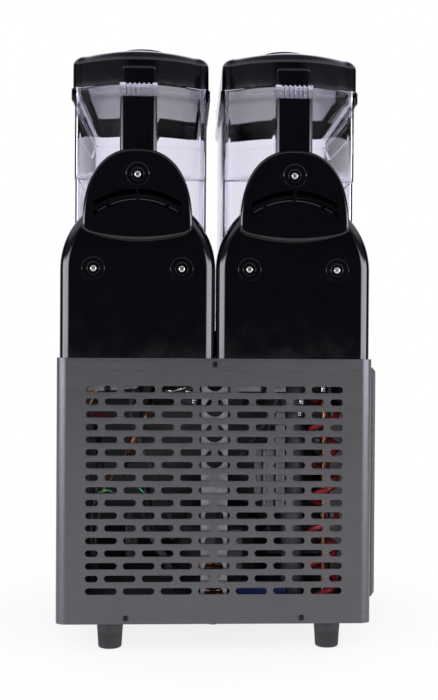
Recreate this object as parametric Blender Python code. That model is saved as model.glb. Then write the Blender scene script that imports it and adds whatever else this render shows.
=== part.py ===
"""Twin-bowl slush machine: a refrigerated housing, two clear bowls with augers, lids and taps.

The front of the machine faces -Y and the motor covers face +Y. The origin is on the floor,
midway along the machine's depth. Every piece is a separate closed solid.
"""
import math

import bmesh
import bpy
from mathutils import Matrix, Vector

# ---- Driving dimensions, in metres -------------------------------------------------------
GAP = 0.0003                 # clearance between pieces that touch
SHEET = 0.0015               # sheet metal of the housing

BODY_WIDTH = 0.4064
BODY_DEPTH = 0.400
BODY_BOTTOM = 0.033
BODY_TOP = 0.374
BODY_CORNER = 0.014
REAR_Y = 0.256
FRONT_Y = REAR_Y - BODY_DEPTH
HALF = BODY_WIDTH / 2
RETURN = 0.032               # length of the front and rear panels' side returns
PAN_TOP = BODY_BOTTOM + 0.0035
DECK_BOTTOM = BODY_TOP - 0.0025

BOWL_X = 0.100               # each bowl's centre plane
AXIS_Z = 0.488               # auger and evaporator axis

SLOT_ROWS = 17
SLOT_ROW_PITCH = 0.0162
SLOT_FIRST_Z = 0.0753
SLOT_LENGTH = 0.0404
SLOT_SHORT = 0.0165
SLOT_HEIGHT = 0.0082
SLOT_SPACE = 0.0078

COVER_RADIUS = 0.0996
COVER_WALL = 0.0025
COVER_EDGE = 0.014
COVER_BOTTOM = BODY_TOP + GAP
COVER_SCREW_Z = 0.4887
SCREW_RECESS = 0.0085
BULKHEAD_Y = 0.171           # front face of the bulkhead
BULKHEAD_THICK = 0.003

HOOD_HALF = 0.070
HOOD_BASE_Z = 0.5385
HOOD_RISE = 0.102
HOOD_DIP = 0.0145
HOOD_POWER = 2.4
HOOD_FRONT = 0.222
HOOD_REAR = REAR_Y + 0.012
HOOD_WALL = 0.0025
HOOD_SCREW_Z = 0.608
VENTS = ((0.5893, 0.5826, 0.0165), (0.5796, 0.5723, 0.0198))
VENT_END = 0.056

COLUMN_HALF = 0.0235
COLUMN_TOP = 0.709
LUG_HALF = 0.024
LUG_BOTTOM = 0.710
LUG_TOP = 0.727

BOWL_HALF = 0.0885
BOWL_WALL = 0.003
BOWL_REAR = BULKHEAD_Y - 0.0043
BOWL_BOW = 0.212             # rear of the bowed upper wall, on the centre plane
BOWL_FRONT = -0.180
BOWL_CORNER = 0.026
LEDGE_Z = 0.616
RIM_Z = 0.733
RIM_HEIGHT = 0.0155
RIM_PROUD = 0.0045
BOWL_HOLE = 0.080

LID_HALF = 0.0910
LID_REAR = 0.168
LID_BOW = 0.2135
LID_FRONT = -0.1825
LID_CORNER = 0.030
LID_WALL = 0.0025
LIP_DEPTH = 0.003
LID_TAIL_TOP = 0.7526
KNOB_Y = 0.070
KNOB_TOP = 0.8035

EVAPORATOR_RADIUS = 0.0525
EVAPORATOR_FRONT = -0.120
AUGER_INNER = 0.0541
AUGER_OUTER = 0.076
AUGER_TURNS = 3
SHAFT_RADIUS = 0.008

TAP_Y = -0.198
TAP_BOTTOM = 0.362
TAP_TOP = 0.462
TAP_RADIUS = 0.0145
TAP_BORE = 0.0106
TAP_INLET_Z = 0.414
TAP_INLET_RADIUS = 0.008
PISTON_RADIUS = 0.0100
PISTON_BOTTOM = 0.4045
PISTON_TOP = 0.488
PIVOT_Y = -0.217
PIVOT_Z = 0.4768
PIN_RADIUS = 0.0025

FAN_Y = 0.040
FAN_Z = 0.190
FAN_RADIUS = 0.088

TRAY_HALF = 0.165
TRAY_FRONT = -0.268
TRAY_REAR = FRONT_Y - 0.003
TRAY_BOTTOM = 0.0433
TRAY_TOP = 0.083

SWITCH_Z = 0.315
SWITCH_X = (-0.070, 0.0, 0.070)
FOOT_X = (-0.148, 0.1337)
FOOT_Y = (REAR_Y - 0.0195, FRONT_Y + 0.050)


# ---- Small helpers -----------------------------------------------------------------------
def clear_scene():
    for obj in list(bpy.data.objects):
        bpy.data.objects.remove(obj, do_unlink=True)


def material(name, color, roughness, metallic=0.0, alpha=1.0):
    mat = bpy.data.materials.new(name)
    mat.use_nodes = True
    shader = mat.node_tree.nodes["Principled BSDF"]
    shader.inputs["Base Color"].default_value = (*color, 1.0)
    shader.inputs["Roughness"].default_value = roughness
    shader.inputs["Metallic"].default_value = metallic
    shader.inputs["Alpha"].default_value = alpha
    mat.diffuse_color = (*color, alpha)
    return mat


def place(axis, u, v, height):
    """A point with its height along axis and (u, v) in the plane across it."""
    if axis == "X":
        return Vector((height, u, v))
    if axis == "Y":
        return Vector((u, height, v))
    return Vector((u, v, height))


def bridge(bm, first, second):
    """Join two rings of vertices with faces; a ring of one vertex is a pole."""
    count = max(len(first), len(second))
    for index in range(count):
        after = (index + 1) % count
        corners = []
        for ring, place_in_ring in ((first, index), (first, after), (second, after), (second, index)):
            vertex = ring[place_in_ring % len(ring)]
            if vertex not in corners:
                corners.append(vertex)
        bm.faces.new(corners)


def loft(rings, bm=None):
    """A closed solid through rings of points, with the first and last ring capped."""
    bm = bm or bmesh.new()
    made = [[bm.verts.new(point) for point in ring] for ring in rings]
    for first, second in zip(made, made[1:]):
        bridge(bm, first, second)
    bm.faces.new(made[0])
    bm.faces.new(made[-1])
    return bm


def prism(outline, axis, low, high, bm=None):
    """Extrude an outline of (u, v) points along an axis."""
    rings = [[place(axis, u, v, height) for u, v in outline] for height in (low, high)]
    return loft(rings, bm)


def turned(profile, axis, centre, segments, bm=None):
    """Turn a profile of (radius, height) points about an axis through centre (u, v)."""
    bm = bm or bmesh.new()
    rings = []
    for radius, height in profile:
        steps = segments if radius > 0 else 1
        angles = [2 * math.pi * (step + 0.5) / segments for step in range(steps)]
        ring = [
            place(axis, centre[0] + radius * math.cos(a), centre[1] + radius * math.sin(a), height)
            for a in angles
        ]
        rings.append([bm.verts.new(point) for point in ring])
    pairs = list(zip(rings, rings[1:]))
    if profile[0][0] > 0:
        pairs.append((rings[-1], rings[0]))
    for first, second in pairs:
        bridge(bm, first, second)
    return bm


def rod(radius, low, high):
    """The profile of a plain solid cylinder."""
    return [(0, low), (radius, low), (radius, high), (0, high)]


def tube(inner, outer, low, high):
    """The profile of a plain hollow cylinder."""
    return [(inner, low), (outer, low), (outer, high), (inner, high)]


def rectangle(u_low, u_high, v_low, v_high):
    return [(u_low, v_low), (u_high, v_low), (u_high, v_high), (u_low, v_high)]


def rounded_rectangle(u_low, u_high, v_low, v_high, radius, steps=3):
    points = []
    corners = (
        (u_high - radius, v_high - radius, 0),
        (u_low + radius, v_high - radius, 90),
        (u_low + radius, v_low + radius, 180),
        (u_high - radius, v_low + radius, 270),
    )
    for u, v, start in corners:
        for step in range(steps + 1):
            angle = math.radians(start + 90 * step / steps)
            points.append((u + radius * math.cos(angle), v + radius * math.sin(angle)))
    return points


def box(low, high, bm=None):
    return prism(rectangle(low[0], high[0], low[1], high[1]), "Z", low[2], high[2], bm)


def add(name, bm, mat, sharp=35):
    """Make an object from a bmesh, with its faces pointing out."""
    bmesh.ops.recalc_face_normals(bm, faces=bm.faces)
    mesh = bpy.data.meshes.new(name)
    bm.to_mesh(mesh)
    bm.free()
    mesh.shade_smooth()
    mesh.set_sharp_from_angle(angle=math.radians(sharp))
    mesh.materials.append(mat)
    obj = bpy.data.objects.new(name, mesh)
    bpy.context.collection.objects.link(obj)
    return obj


def combine(obj, operation, bm):
    """Cut a shape from an object, or unite the shape with it, by a Boolean modifier."""
    modifier = obj.modifiers.new(f"{operation.lower()}_{len(obj.modifiers)}", "BOOLEAN")
    operand = add(f"guide_{obj.name}_{len(obj.modifiers)}", bm, obj.data.materials[0])
    operand.parent = obj
    operand.hide_render = True
    operand.display_type = "WIRE"
    modifier.operation = operation
    modifier.object = operand
    return obj


def cut(obj, bm):
    return combine(obj, "DIFFERENCE", bm)


def unite(obj, bm):
    return combine(obj, "UNION", bm)


def joint_empty(name, location, parent=None):
    """An empty on a joint's axis, which carries the pieces that move with that joint."""
    empty = bpy.data.objects.new(name, None)
    empty.empty_display_size = 0.03
    bpy.context.collection.objects.link(empty)
    empty.location = location
    if parent:
        ride(empty, parent)
    return empty


def ride(obj, empty):
    """Parent an object to an empty, leaving the object where it is in the world."""
    obj.parent = empty
    obj.matrix_parent_inverse = Matrix.Translation(-empty.location)


def side_name(side):
    return "left" if side < 0 else "right"


# ---- Outlines ----------------------------------------------------------------------------
def bullet(radius, bottom, x=0.0, steps=16):
    """Straight sides and a half-round top, about the auger axis; (x, z) points."""
    points = [(x + radius, bottom)]
    for step in range(steps + 1):
        angle = math.pi * step / steps
        points.append((x + radius * math.cos(angle), AXIS_Z + radius * math.sin(angle)))
    points.append((x - radius, bottom))
    return points


def bullet_rings(x, radius, edge, bottom, front, rear):
    """Rings of a bullet-shaped block whose rear edge is rounded."""
    rings = [[Vector((px, front, pz)) for px, pz in bullet(radius, bottom, x)]]
    for angle in (0, 30, 60, 90):
        inset = edge * (1 - math.cos(math.radians(angle)))
        y = rear - edge + edge * math.sin(math.radians(angle))
        rings.append([Vector((px, y, pz)) for px, pz in bullet(radius - inset, bottom, x)])
    return rings


def hood_outline(x, inset=0.0, steps=18, bottom_steps=6):
    """A superellipse dome over a shallow curved lower edge; (x, z) points."""
    half = HOOD_HALF - inset
    rise = HOOD_RISE - inset * 1.2
    base = HOOD_BASE_Z + inset * 0.2
    points = []
    for step in range(steps + 1):
        angle = math.pi * step / steps
        across = abs(math.cos(angle)) ** (2 / HOOD_POWER)
        up = abs(math.sin(angle)) ** (2 / HOOD_POWER)
        points.append((x + math.copysign(half * across, math.cos(angle)), base + rise * up))
    for step in range(1, bottom_steps):
        across = -1 + 2 * step / bottom_steps
        points.append((x + half * across, base - (HOOD_DIP - inset) * (1 - across**2)))
    return points


def bowl_plan(x, half, rear_corner, rear_centre, front, corner, rear_steps=8, corner_steps=3):
    """Bowed rear edge, straight sides and rounded front corners; (x, y) points."""
    corner = min(corner, half * 0.95)
    points = []
    for step in range(rear_steps + 1):
        across = 1 - 2 * step / rear_steps
        bow = rear_corner + (rear_centre - rear_corner) * (1 - across**2)
        points.append((x + half * across, bow))
    for centre_x, start in ((-(half - corner), 180), (half - corner, 270)):
        for step in range(corner_steps + 1):
            angle = math.radians(start + 90 * step / corner_steps)
            along = front + corner + corner * math.sin(angle)
            points.append((x + centre_x + corner * math.cos(angle), along))
    return points


def panel_plan(rear):
    """Plan of a sheet panel with rounded corners and side returns; (x, y) points."""
    sign = 1 if rear else -1
    face = REAR_Y if rear else FRONT_Y
    points = []
    for offset, order in ((0.0, 1), (SHEET, -1)):
        half = HALF - offset
        edge = BODY_CORNER - offset
        run = [(half, -RETURN)]
        for step in range(5):
            angle = math.radians(90 * step / 4)
            run.append((half - edge + edge * math.cos(angle), -offset - edge + edge * math.sin(angle)))
        left = [(-px, py) for px, py in reversed(run)]
        points += (run + left)[::order]
    return [(px, face + sign * py) for px, py in points]


# ---- Housing -----------------------------------------------------------------------------
def slot_cutter():
    """Staggered slots: seven in odd rows, six and two short ones in even rows."""
    bm = bmesh.new()
    for row in range(SLOT_ROWS):
        full = [SLOT_LENGTH] * 7
        offset = [SLOT_SHORT] + [SLOT_LENGTH] * 6 + [SLOT_SHORT]
        lengths = full if row % 2 == 0 else offset
        z = SLOT_FIRST_Z + row * SLOT_ROW_PITCH
        x = -(sum(lengths) + SLOT_SPACE * (len(lengths) - 1)) / 2
        for length in lengths:
            outline = rectangle(x, x + length, z - SLOT_HEIGHT / 2, z + SLOT_HEIGHT / 2)
            prism(outline, "Y", REAR_Y - 0.004, REAR_Y + 0.004, bm)
            x += length + SLOT_SPACE
    return bm


def make_housing(mats):
    metal = mats["housing"]
    skin = SHEET + GAP
    plan = rounded_rectangle(skin - HALF, HALF - skin, FRONT_Y + skin, REAR_Y - skin, BODY_CORNER - SHEET)
    base = add("base_pan", prism(plan, "Z", BODY_BOTTOM + 0.0005, PAN_TOP), mats["zinc"])
    holes = bmesh.new()
    for x in FOOT_X:
        for y in FOOT_Y:
            turned(rod(0.0045, BODY_BOTTOM - 0.01, BODY_BOTTOM + 0.01), "Z", (x, y), 12, holes)
    cut(base, holes)
    rear = add("rear_panel", prism(panel_plan(True), "Z", BODY_BOTTOM, BODY_TOP), metal)
    cut(rear, slot_cutter())
    front = add("front_panel", prism(panel_plan(False), "Z", BODY_BOTTOM, BODY_TOP), metal)
    switch_holes = bmesh.new()
    for x in SWITCH_X:
        box((x - 0.011, FRONT_Y - 0.01, SWITCH_Z - 0.016), (x + 0.011, FRONT_Y + 0.01, SWITCH_Z + 0.016),
            switch_holes)
    cut(front, switch_holes)
    make_side_panels(metal)
    deck = add("top_deck", prism(plan, "Z", DECK_BOTTOM, BODY_TOP), metal)
    pipe_holes = bmesh.new()
    for side in (-1, 1):
        x = side * BOWL_X
        box((x - 0.02, 0.185, BODY_TOP - 0.01), (x + 0.02, 0.205, BODY_TOP + 0.01), pipe_holes)
    cut(deck, pipe_holes)
    make_centre_post(mats["zinc"])


def make_side_panels(metal):
    low = (FRONT_Y + RETURN + GAP, BODY_BOTTOM)
    high = (REAR_Y - RETURN - GAP, BODY_TOP)
    for name, outer in (("side_panel_right", HALF), ("side_panel_left", -HALF)):
        inner = outer - math.copysign(SHEET, outer)
        panel = add(name, box((min(inner, outer), low[0], low[1]), (max(inner, outer), high[0], high[1])),
                    metal)
        vents = bmesh.new()
        if outer > 0:
            for row in range(8):
                z = 0.10 + row * 0.028
                box((outer - 0.01, 0.0, z), (outer + 0.01, 0.18, z + 0.009), vents)
        else:
            box((outer - 0.01, -0.090, 0.085), (outer + 0.01, 0.170, 0.300), vents)
        cut(panel, vents)


def make_centre_post(zinc):
    """A channel up the middle of the rear panel, lightened with round holes."""
    half = 0.017
    front = REAR_Y - 0.026
    back = REAR_Y - 0.008
    outline = [
        (-half, front), (-half, back), (half, back), (half, front),
        (half - SHEET, front), (half - SHEET, back - SHEET), (-half + SHEET, back - SHEET),
        (-half + SHEET, front),
    ]
    post = add("centre_post", prism(outline, "Z", PAN_TOP + GAP, DECK_BOTTOM - GAP), zinc)
    holes = bmesh.new()
    for z in (0.070, 0.103, 0.136, 0.169, 0.245, 0.278, 0.311, 0.344):
        turned(rod(0.0125, back - 0.008, back + 0.008), "Y", (0, z), 12, holes)
    cut(post, holes)


def make_bulkhead(zinc):
    """The plate that both evaporators and gearmotors bolt to, behind the bowls."""
    radius = COVER_RADIUS - 0.001
    web_z = 0.410
    right = bullet(radius, COVER_BOTTOM, BOWL_X)
    left = bullet(radius, COVER_BOTTOM, -BOWL_X)
    outline = right[:-1] + [(BOWL_X - radius, web_z), (radius - BOWL_X, web_z)] + left[1:]
    rear = BULKHEAD_Y + BULKHEAD_THICK
    plate = add("bulkhead", prism(outline, "Y", BULKHEAD_Y, rear), zinc)
    holes = bmesh.new()
    for x in (-BOWL_X, BOWL_X):
        turned(rod(0.014, BULKHEAD_Y - 0.01, rear + 0.01), "Y", (x, AXIS_Z), 12, holes)
    cut(plate, holes)


def make_feet(mats, root):
    top = BODY_BOTTOM + 0.0005 - GAP
    profile = [
        (0, 0), (0.0135, 0), (0.0152, 0.0015), (0.0160, 0.022), (0.0166, 0.024), (0.0168, top),
        (0.004, top), (0.004, top + 0.012), (0, top + 0.012),
    ]
    for x in FOOT_X:
        for y in FOOT_Y:
            end = "rear" if y > 0 else "front"
            foot = add(f"foot_{end}_{side_name(x)}", turned(profile, "Z", (x, y), 16), mats["rubber"])
            ride(foot, joint_empty(f"{foot.name}_axis", (x, y, 0), root))


# ---- Motor covers ------------------------------------------------------------------------
def make_motor_cover(side, mats):
    x = side * BOWL_X
    front = BULKHEAD_Y + BULKHEAD_THICK + GAP
    outer = bullet_rings(x, COVER_RADIUS, COVER_EDGE, COVER_BOTTOM, front, REAR_Y)
    inner = bullet_rings(x, COVER_RADIUS - COVER_WALL, COVER_EDGE - COVER_WALL,
                         COVER_BOTTOM + COVER_WALL, front, REAR_Y - COVER_WALL)
    cover = add(f"motor_cover_{side_name(side)}", loft(inner[::-1] + outer), mats["gloss_black"])
    recesses = bmesh.new()
    for offset in (-0.0565, 0.0565):
        turned(rod(SCREW_RECESS, REAR_Y - 0.0012, REAR_Y + 0.01), "Y", (x + offset, COVER_SCREW_Z), 12,
               recesses)
    box((x - 0.040, REAR_Y - 0.01, 0.545), (x + 0.040, REAR_Y + 0.01, 0.570), recesses)
    box((x - 0.025, 0.182, COVER_BOTTOM - 0.01), (x + 0.025, 0.208, COVER_BOTTOM + 0.01), recesses)
    cut(cover, recesses)
    make_hood(side, x, mats["gloss_black"])
    make_column(side, x, mats["gloss_black"])


def vent_outline(x, side, top_z, bottom_z, drop, end):
    """One half of a crescent vent, from the centre rib outwards; (x, z) points."""
    rib = 0.0015
    steps = 4
    upper = []
    lower = []
    for step in range(steps + 1):
        across = rib + (end - rib) * step / steps
        fall = drop * (across / end) ** 2
        upper.append((x + side * across, top_z - fall))
        lower.append((x + side * across, bottom_z - fall))
    return upper + lower[::-1]


def make_hood(side, x, black):
    """The vented hood over the top of a motor cover."""
    hood = add(f"vent_hood_{side_name(side)}", prism(hood_outline(x), "Y", HOOD_FRONT, HOOD_REAR), black)
    hollow = prism(hood_outline(x, HOOD_WALL), "Y", HOOD_FRONT + HOOD_WALL, HOOD_REAR - HOOD_WALL)
    cut(hood, hollow)
    under = bullet_rings(x, COVER_RADIUS + GAP, COVER_EDGE, COVER_BOTTOM - 0.01, HOOD_FRONT - 0.01,
                         REAR_Y + GAP)
    cut(hood, loft(under))
    vents = bmesh.new()
    for half in (-1, 1):
        for top_z, bottom_z, drop in VENTS:
            outline = vent_outline(x, half, top_z, bottom_z, drop, VENT_END)
            prism(outline, "Y", HOOD_REAR - 0.006, HOOD_REAR + 0.006, vents)
    turned(rod(SCREW_RECESS, HOOD_REAR - 0.0012, HOOD_REAR + 0.01), "Y", (x, HOOD_SCREW_Z), 12, vents)
    cut(hood, vents)


def make_column(side, x, black):
    """The post above the hood that the bowl's rear lug rests on."""
    front = HOOD_FRONT
    chamfer = 0.003
    plan = [
        (-COLUMN_HALF, front), (COLUMN_HALF, front), (COLUMN_HALF, REAR_Y - chamfer),
        (COLUMN_HALF - chamfer, REAR_Y), (chamfer - COLUMN_HALF, REAR_Y),
        (-COLUMN_HALF, REAR_Y - chamfer),
    ]
    outline = [(x + px, py) for px, py in plan]
    column = add(f"bowl_column_{side_name(side)}", prism(outline, "Z", 0.630, COLUMN_TOP), black)
    below = hood_outline(x, -GAP)
    cut(column, prism(below, "Y", front - 0.01, HOOD_REAR + 0.01))


# ---- Bowl, lid and tap -------------------------------------------------------------------
def bowl_ring(x, radius, z, bowed, grow=0.0):
    """One level of the bowl: half-round below the auger axis and straight above it."""
    wall = BOWL_HALF - radius
    drop = max(0.0, AXIS_Z - z)
    half = math.sqrt(radius**2 - drop**2) + grow
    rear = BOWL_REAR - wall
    centre = (BOWL_BOW - wall + grow) if bowed else rear
    corner = rear + (grow if bowed else 0.0)
    plan = bowl_plan(x, half, corner, centre, BOWL_FRONT + wall - grow, BOWL_CORNER - wall)
    return [Vector((px, py, z)) for px, py in plan]


def bowl_rings(x):
    outer = []
    inner = []
    for angle in (14, 32, 50, 70, 90):
        cosine = math.cos(math.radians(angle))
        outer.append(bowl_ring(x, BOWL_HALF, AXIS_Z - BOWL_HALF * cosine, False))
        radius = BOWL_HALF - BOWL_WALL
        inner.append(bowl_ring(x, radius, AXIS_Z - radius * cosine, False))
    outer.append(bowl_ring(x, BOWL_HALF, LEDGE_Z, False))
    outer.append(bowl_ring(x, BOWL_HALF, LEDGE_Z + 0.001, True))
    outer.append(bowl_ring(x, BOWL_HALF, RIM_Z - RIM_HEIGHT - 0.005, True))
    outer.append(bowl_ring(x, BOWL_HALF, RIM_Z - RIM_HEIGHT, True, RIM_PROUD))
    outer.append(bowl_ring(x, BOWL_HALF, RIM_Z, True, RIM_PROUD))
    inner.append(bowl_ring(x, BOWL_HALF - BOWL_WALL, LEDGE_Z + BOWL_WALL, False))
    inner.append(bowl_ring(x, BOWL_HALF - BOWL_WALL, LEDGE_Z + BOWL_WALL + 0.001, True))
    inner.append(bowl_ring(x, BOWL_HALF - BOWL_WALL, RIM_Z, True))
    return inner + outer[::-1]


def make_bowl(side, mats, root):
    x = side * BOWL_X
    name = side_name(side)
    axis = joint_empty(f"bowl_{name}_axis", (x, BOWL_REAR, AXIS_Z), root)
    bowl = add(f"bowl_{name}", loft(bowl_rings(x)), mats["clear"])
    holes = turned(rod(BOWL_HOLE, BOWL_REAR - 0.01, BOWL_REAR + 0.01), "Y", (x, AXIS_Z), 32)
    turned(rod(TAP_INLET_RADIUS, BOWL_FRONT - 0.01, BOWL_FRONT + 0.01), "Y", (x, TAP_INLET_Z), 12, holes)
    cut(bowl, holes)
    unite(bowl, box((x - LUG_HALF, BOWL_BOW - 0.001, LUG_BOTTOM), (x + LUG_HALF, 0.250, LUG_TOP)))
    ride(bowl, axis)
    seal = turned(tube(BOWL_HOLE - 0.0015, BOWL_HOLE + 0.007, BOWL_REAR + GAP, BULKHEAD_Y - GAP),
                  "Y", (x, AXIS_Z), 24)
    add(f"bowl_seal_{name}", seal, mats["seal"])
    make_lid(x, name, mats, axis)
    make_tap(x, name, mats, axis)


def lid_ring(x, inset, z):
    plan = bowl_plan(x, LID_HALF - inset, LID_REAR - inset, LID_BOW - inset, LID_FRONT + inset,
                     max(LID_CORNER - inset, 0.004))
    return [Vector((px, py, z)) for px, py in plan]


def make_lid(x, name, mats, bowl_axis):
    """A domed lid with a locating lip inside the bowl's rim, a round knob and a rear tail."""
    bottom = RIM_Z + GAP
    dome = [(0.0, 0.764), (0.0035, 0.7738), (0.012, 0.7787), (0.032, 0.7845), (0.056, 0.7905),
            (0.074, 0.7935)]
    outer = [lid_ring(x, 0.0, bottom)] + [lid_ring(x, inset, z) for inset, z in dome]
    inner = [lid_ring(x, inset + LID_WALL, z - LID_WALL) for inset, z in dome]
    lip_outer = LID_HALF - BOWL_HALF + BOWL_WALL + GAP
    lip_inner = lip_outer + LID_WALL
    lip_bottom = bottom - LIP_DEPTH
    step_z = bottom + LID_WALL
    lip = [
        lid_ring(x, LID_WALL, step_z + 0.001), lid_ring(x, lip_inner, step_z),
        lid_ring(x, lip_inner, lip_bottom), lid_ring(x, lip_outer, lip_bottom),
        lid_ring(x, lip_outer, bottom),
    ]
    lid = add(f"lid_{name}", loft(inner[::-1] + lip + outer), mats["gloss_black"])
    knob = [
        (0, 0.7895), (0.030, 0.7895), (0.030, KNOB_TOP - 0.0105), (0.0330, KNOB_TOP - 0.009),
        (0.0330, KNOB_TOP - 0.0035), (0.030, KNOB_TOP), (0.021, KNOB_TOP), (0.017, KNOB_TOP - 0.005),
        (0, KNOB_TOP - 0.005),
    ]
    unite(lid, turned(knob, "Z", (x, KNOB_Y), 20))
    half = 0.0225
    tail_end = REAR_Y - 0.020
    tail = [(-half, bottom), (half, bottom), (half, LID_TAIL_TOP - 0.006), (half - 0.006, LID_TAIL_TOP),
            (0.006 - half, LID_TAIL_TOP), (-half, LID_TAIL_TOP - 0.006)]
    unite(lid, prism([(x + px, pz) for px, pz in tail], "Y", LID_BOW - 0.0015, tail_end))
    behind_rim = BOWL_BOW + RIM_PROUD + 0.001
    unite(lid, box((x - half, behind_rim, LUG_TOP + GAP), (x + half, tail_end, bottom + 0.004)))
    ride(lid, joint_empty(f"lid_{name}_axis", (x, KNOB_Y, bottom), bowl_axis))


def make_tap(x, name, mats, bowl_axis):
    body = add(f"tap_body_{name}",
               turned(tube(TAP_BORE, TAP_RADIUS, TAP_BOTTOM, TAP_TOP), "Z", (x, TAP_Y), 20), mats["clear"])
    neck = turned(rod(0.0125, TAP_Y + TAP_BORE + 0.0015, BOWL_FRONT - GAP), "Y", (x, TAP_INLET_Z), 16)
    unite(body, neck)
    ears = bmesh.new()
    for sign in (-1, 1):
        near, far = sorted((sign * 0.0075, sign * 0.0115))
        box((x + near, PIVOT_Y - 0.006, 0.430), (x + far, TAP_Y - TAP_BORE - 0.0006, PIVOT_Z + 0.006), ears)
    unite(body, ears)
    holes = turned(rod(PIN_RADIUS + 0.0002, x - 0.02, x + 0.02), "X", (PIVOT_Y, PIVOT_Z), 12)
    turned(rod(TAP_INLET_RADIUS, TAP_Y, BOWL_FRONT + 0.01), "Y", (x, TAP_INLET_Z), 12, holes)
    cut(body, holes)
    ride(body, bowl_axis)
    pin = turned(rod(PIN_RADIUS, x - 0.013, x + 0.013), "X", (PIVOT_Y, PIVOT_Z), 12)
    ride(add(f"tap_pin_{name}", pin, mats["steel"]), bowl_axis)
    make_piston(x, name, mats, bowl_axis)
    make_handle(x, name, mats, bowl_axis)


def make_piston(x, name, mats, bowl_axis):
    """The sliding valve: it closes the tap's inlet, and the handle's nose lifts it by its slot."""
    slot_low = PIVOT_Z - 0.0090
    slot_high = PIVOT_Z + 0.0060
    piston = add(f"tap_piston_{name}",
                 turned(rod(PISTON_RADIUS, PISTON_BOTTOM, PISTON_TOP), "Z", (x, TAP_Y), 16), mats["white"])
    cut(piston, box((x - 0.02, TAP_Y - 0.02, slot_low), (x + 0.02, TAP_Y + 0.0045, slot_high)))
    ride(piston, joint_empty(f"tap_piston_{name}_axis", (x, TAP_Y, PISTON_BOTTOM), bowl_axis))


def make_handle(x, name, mats, bowl_axis):
    """An upright lever: its hub turns on the tap pin and its nose reaches into the piston's slot."""
    half = 0.0065
    outline = [
        (0.0185, -0.0025), (0.0185, 0.0025), (0.006, 0.0040), (0.004, 0.012), (-0.003, 0.078),
        (-0.008, 0.084), (-0.015, 0.082), (-0.016, 0.076), (-0.009, 0.012), (-0.0065, 0.0),
        (-0.0045, -0.0050), (0.001, -0.0065), (0.006, -0.0040),
    ]
    handle = add(f"tap_handle_{name}",
                 prism([(PIVOT_Y + u, PIVOT_Z + v) for u, v in outline], "X", x - half, x + half),
                 mats["gloss_black"])
    grip = rectangle(PIVOT_Y - 0.0155, PIVOT_Y - 0.002, PIVOT_Z + 0.030, PIVOT_Z + 0.080)
    shear = [(u - (v - PIVOT_Z - 0.030) * 0.06, v) for u, v in grip]
    unite(handle, prism(shear, "X", x - 0.014, x + 0.014))
    cut(handle, turned(rod(PIN_RADIUS + 0.0002, x - 0.02, x + 0.02), "X", (PIVOT_Y, PIVOT_Z), 12))
    ride(handle, joint_empty(f"tap_handle_{name}_axis", (x, PIVOT_Y, PIVOT_Z), bowl_axis))


# ---- Freezing cylinder and auger ---------------------------------------------------------
def helix_ribbon(x):
    """The auger's flight: a flat ribbon wound along the cylinder."""
    steps = 16 * AUGER_TURNS
    start = BULKHEAD_Y - 0.012
    length = start - EVAPORATOR_FRONT + 0.004
    half = 0.002
    rings = []
    for step in range(steps + 1):
        angle = 2 * math.pi * AUGER_TURNS * step / steps
        y = start - half - length * step / steps
        ring = []
        corners = ((AUGER_INNER, -half), (AUGER_OUTER, -half), (AUGER_OUTER, half), (AUGER_INNER, half))
        for radius, along in corners:
            ring.append(Vector((x + radius * math.cos(angle), y + along, AXIS_Z + radius * math.sin(angle))))
        rings.append(ring)
    return loft(rings)


def make_auger(side, mats, root):
    x = side * BOWL_X
    name = side_name(side)
    centre = (x, AXIS_Z)
    flange = BULKHEAD_Y - GAP
    cylinder = [
        (0.0105, EVAPORATOR_FRONT), (EVAPORATOR_RADIUS - 0.004, EVAPORATOR_FRONT),
        (EVAPORATOR_RADIUS, EVAPORATOR_FRONT + 0.004), (EVAPORATOR_RADIUS, flange - 0.003),
        (0.0755, flange - 0.003), (0.0755, flange), (EVAPORATOR_RADIUS - 0.003, flange),
        (EVAPORATOR_RADIUS - 0.003, EVAPORATOR_FRONT + 0.005), (0.0125, EVAPORATOR_FRONT + 0.003),
        (0.0125, flange), (0.0105, flange),
    ]
    add(f"evaporator_{name}", turned(cylinder, "Y", centre, 24), mats["steel"])
    axis = joint_empty(f"auger_{name}_axis", (x, 0, AXIS_Z), root)
    auger = add(f"auger_{name}", helix_ribbon(x), mats["white"])
    back = EVAPORATOR_FRONT - 0.003
    bore = SHAFT_RADIUS + GAP
    spider = [
        (bore, back), (AUGER_OUTER, back), (AUGER_OUTER, back - 0.005), (0.018, back - 0.007),
        (0.018, back - 0.022), (bore, back - 0.022),
    ]
    unite(auger, turned(spider, "Y", centre, 24))
    windows = bmesh.new()
    for index in range(4):
        turn = math.radians(45 + 90 * index)
        spot = (x + 0.044 * math.cos(turn), AXIS_Z + 0.044 * math.sin(turn))
        turned(rod(0.016, back - 0.01, back + 0.0015), "Y", spot, 10, windows)
    cut(auger, windows)
    ride(auger, axis)
    shaft = turned(rod(SHAFT_RADIUS, back - 0.026, 0.205), "Y", centre, 12)
    ride(add(f"drive_shaft_{name}", shaft, mats["steel"]), axis)
    rear = BULKHEAD_Y + BULKHEAD_THICK + GAP
    housing = [
        (SHAFT_RADIUS + GAP, rear), (0.045, rear), (0.045, 0.213), (0.033, 0.215), (0.033, 0.244),
        (0, 0.244), (0, 0.206), (SHAFT_RADIUS + GAP, 0.206),
    ]
    add(f"gearmotor_{name}", gearmotor_mesh(housing, centre), mats["motor"])


def gearmotor_mesh(profile, centre):
    """A turned housing with a blind bore for the drive shaft."""
    outer = profile[:6]
    bore = [profile[6], profile[7]]
    return turned([(0, bore[0][1]), bore[1]] + outer, "Y", centre, 20)


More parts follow.
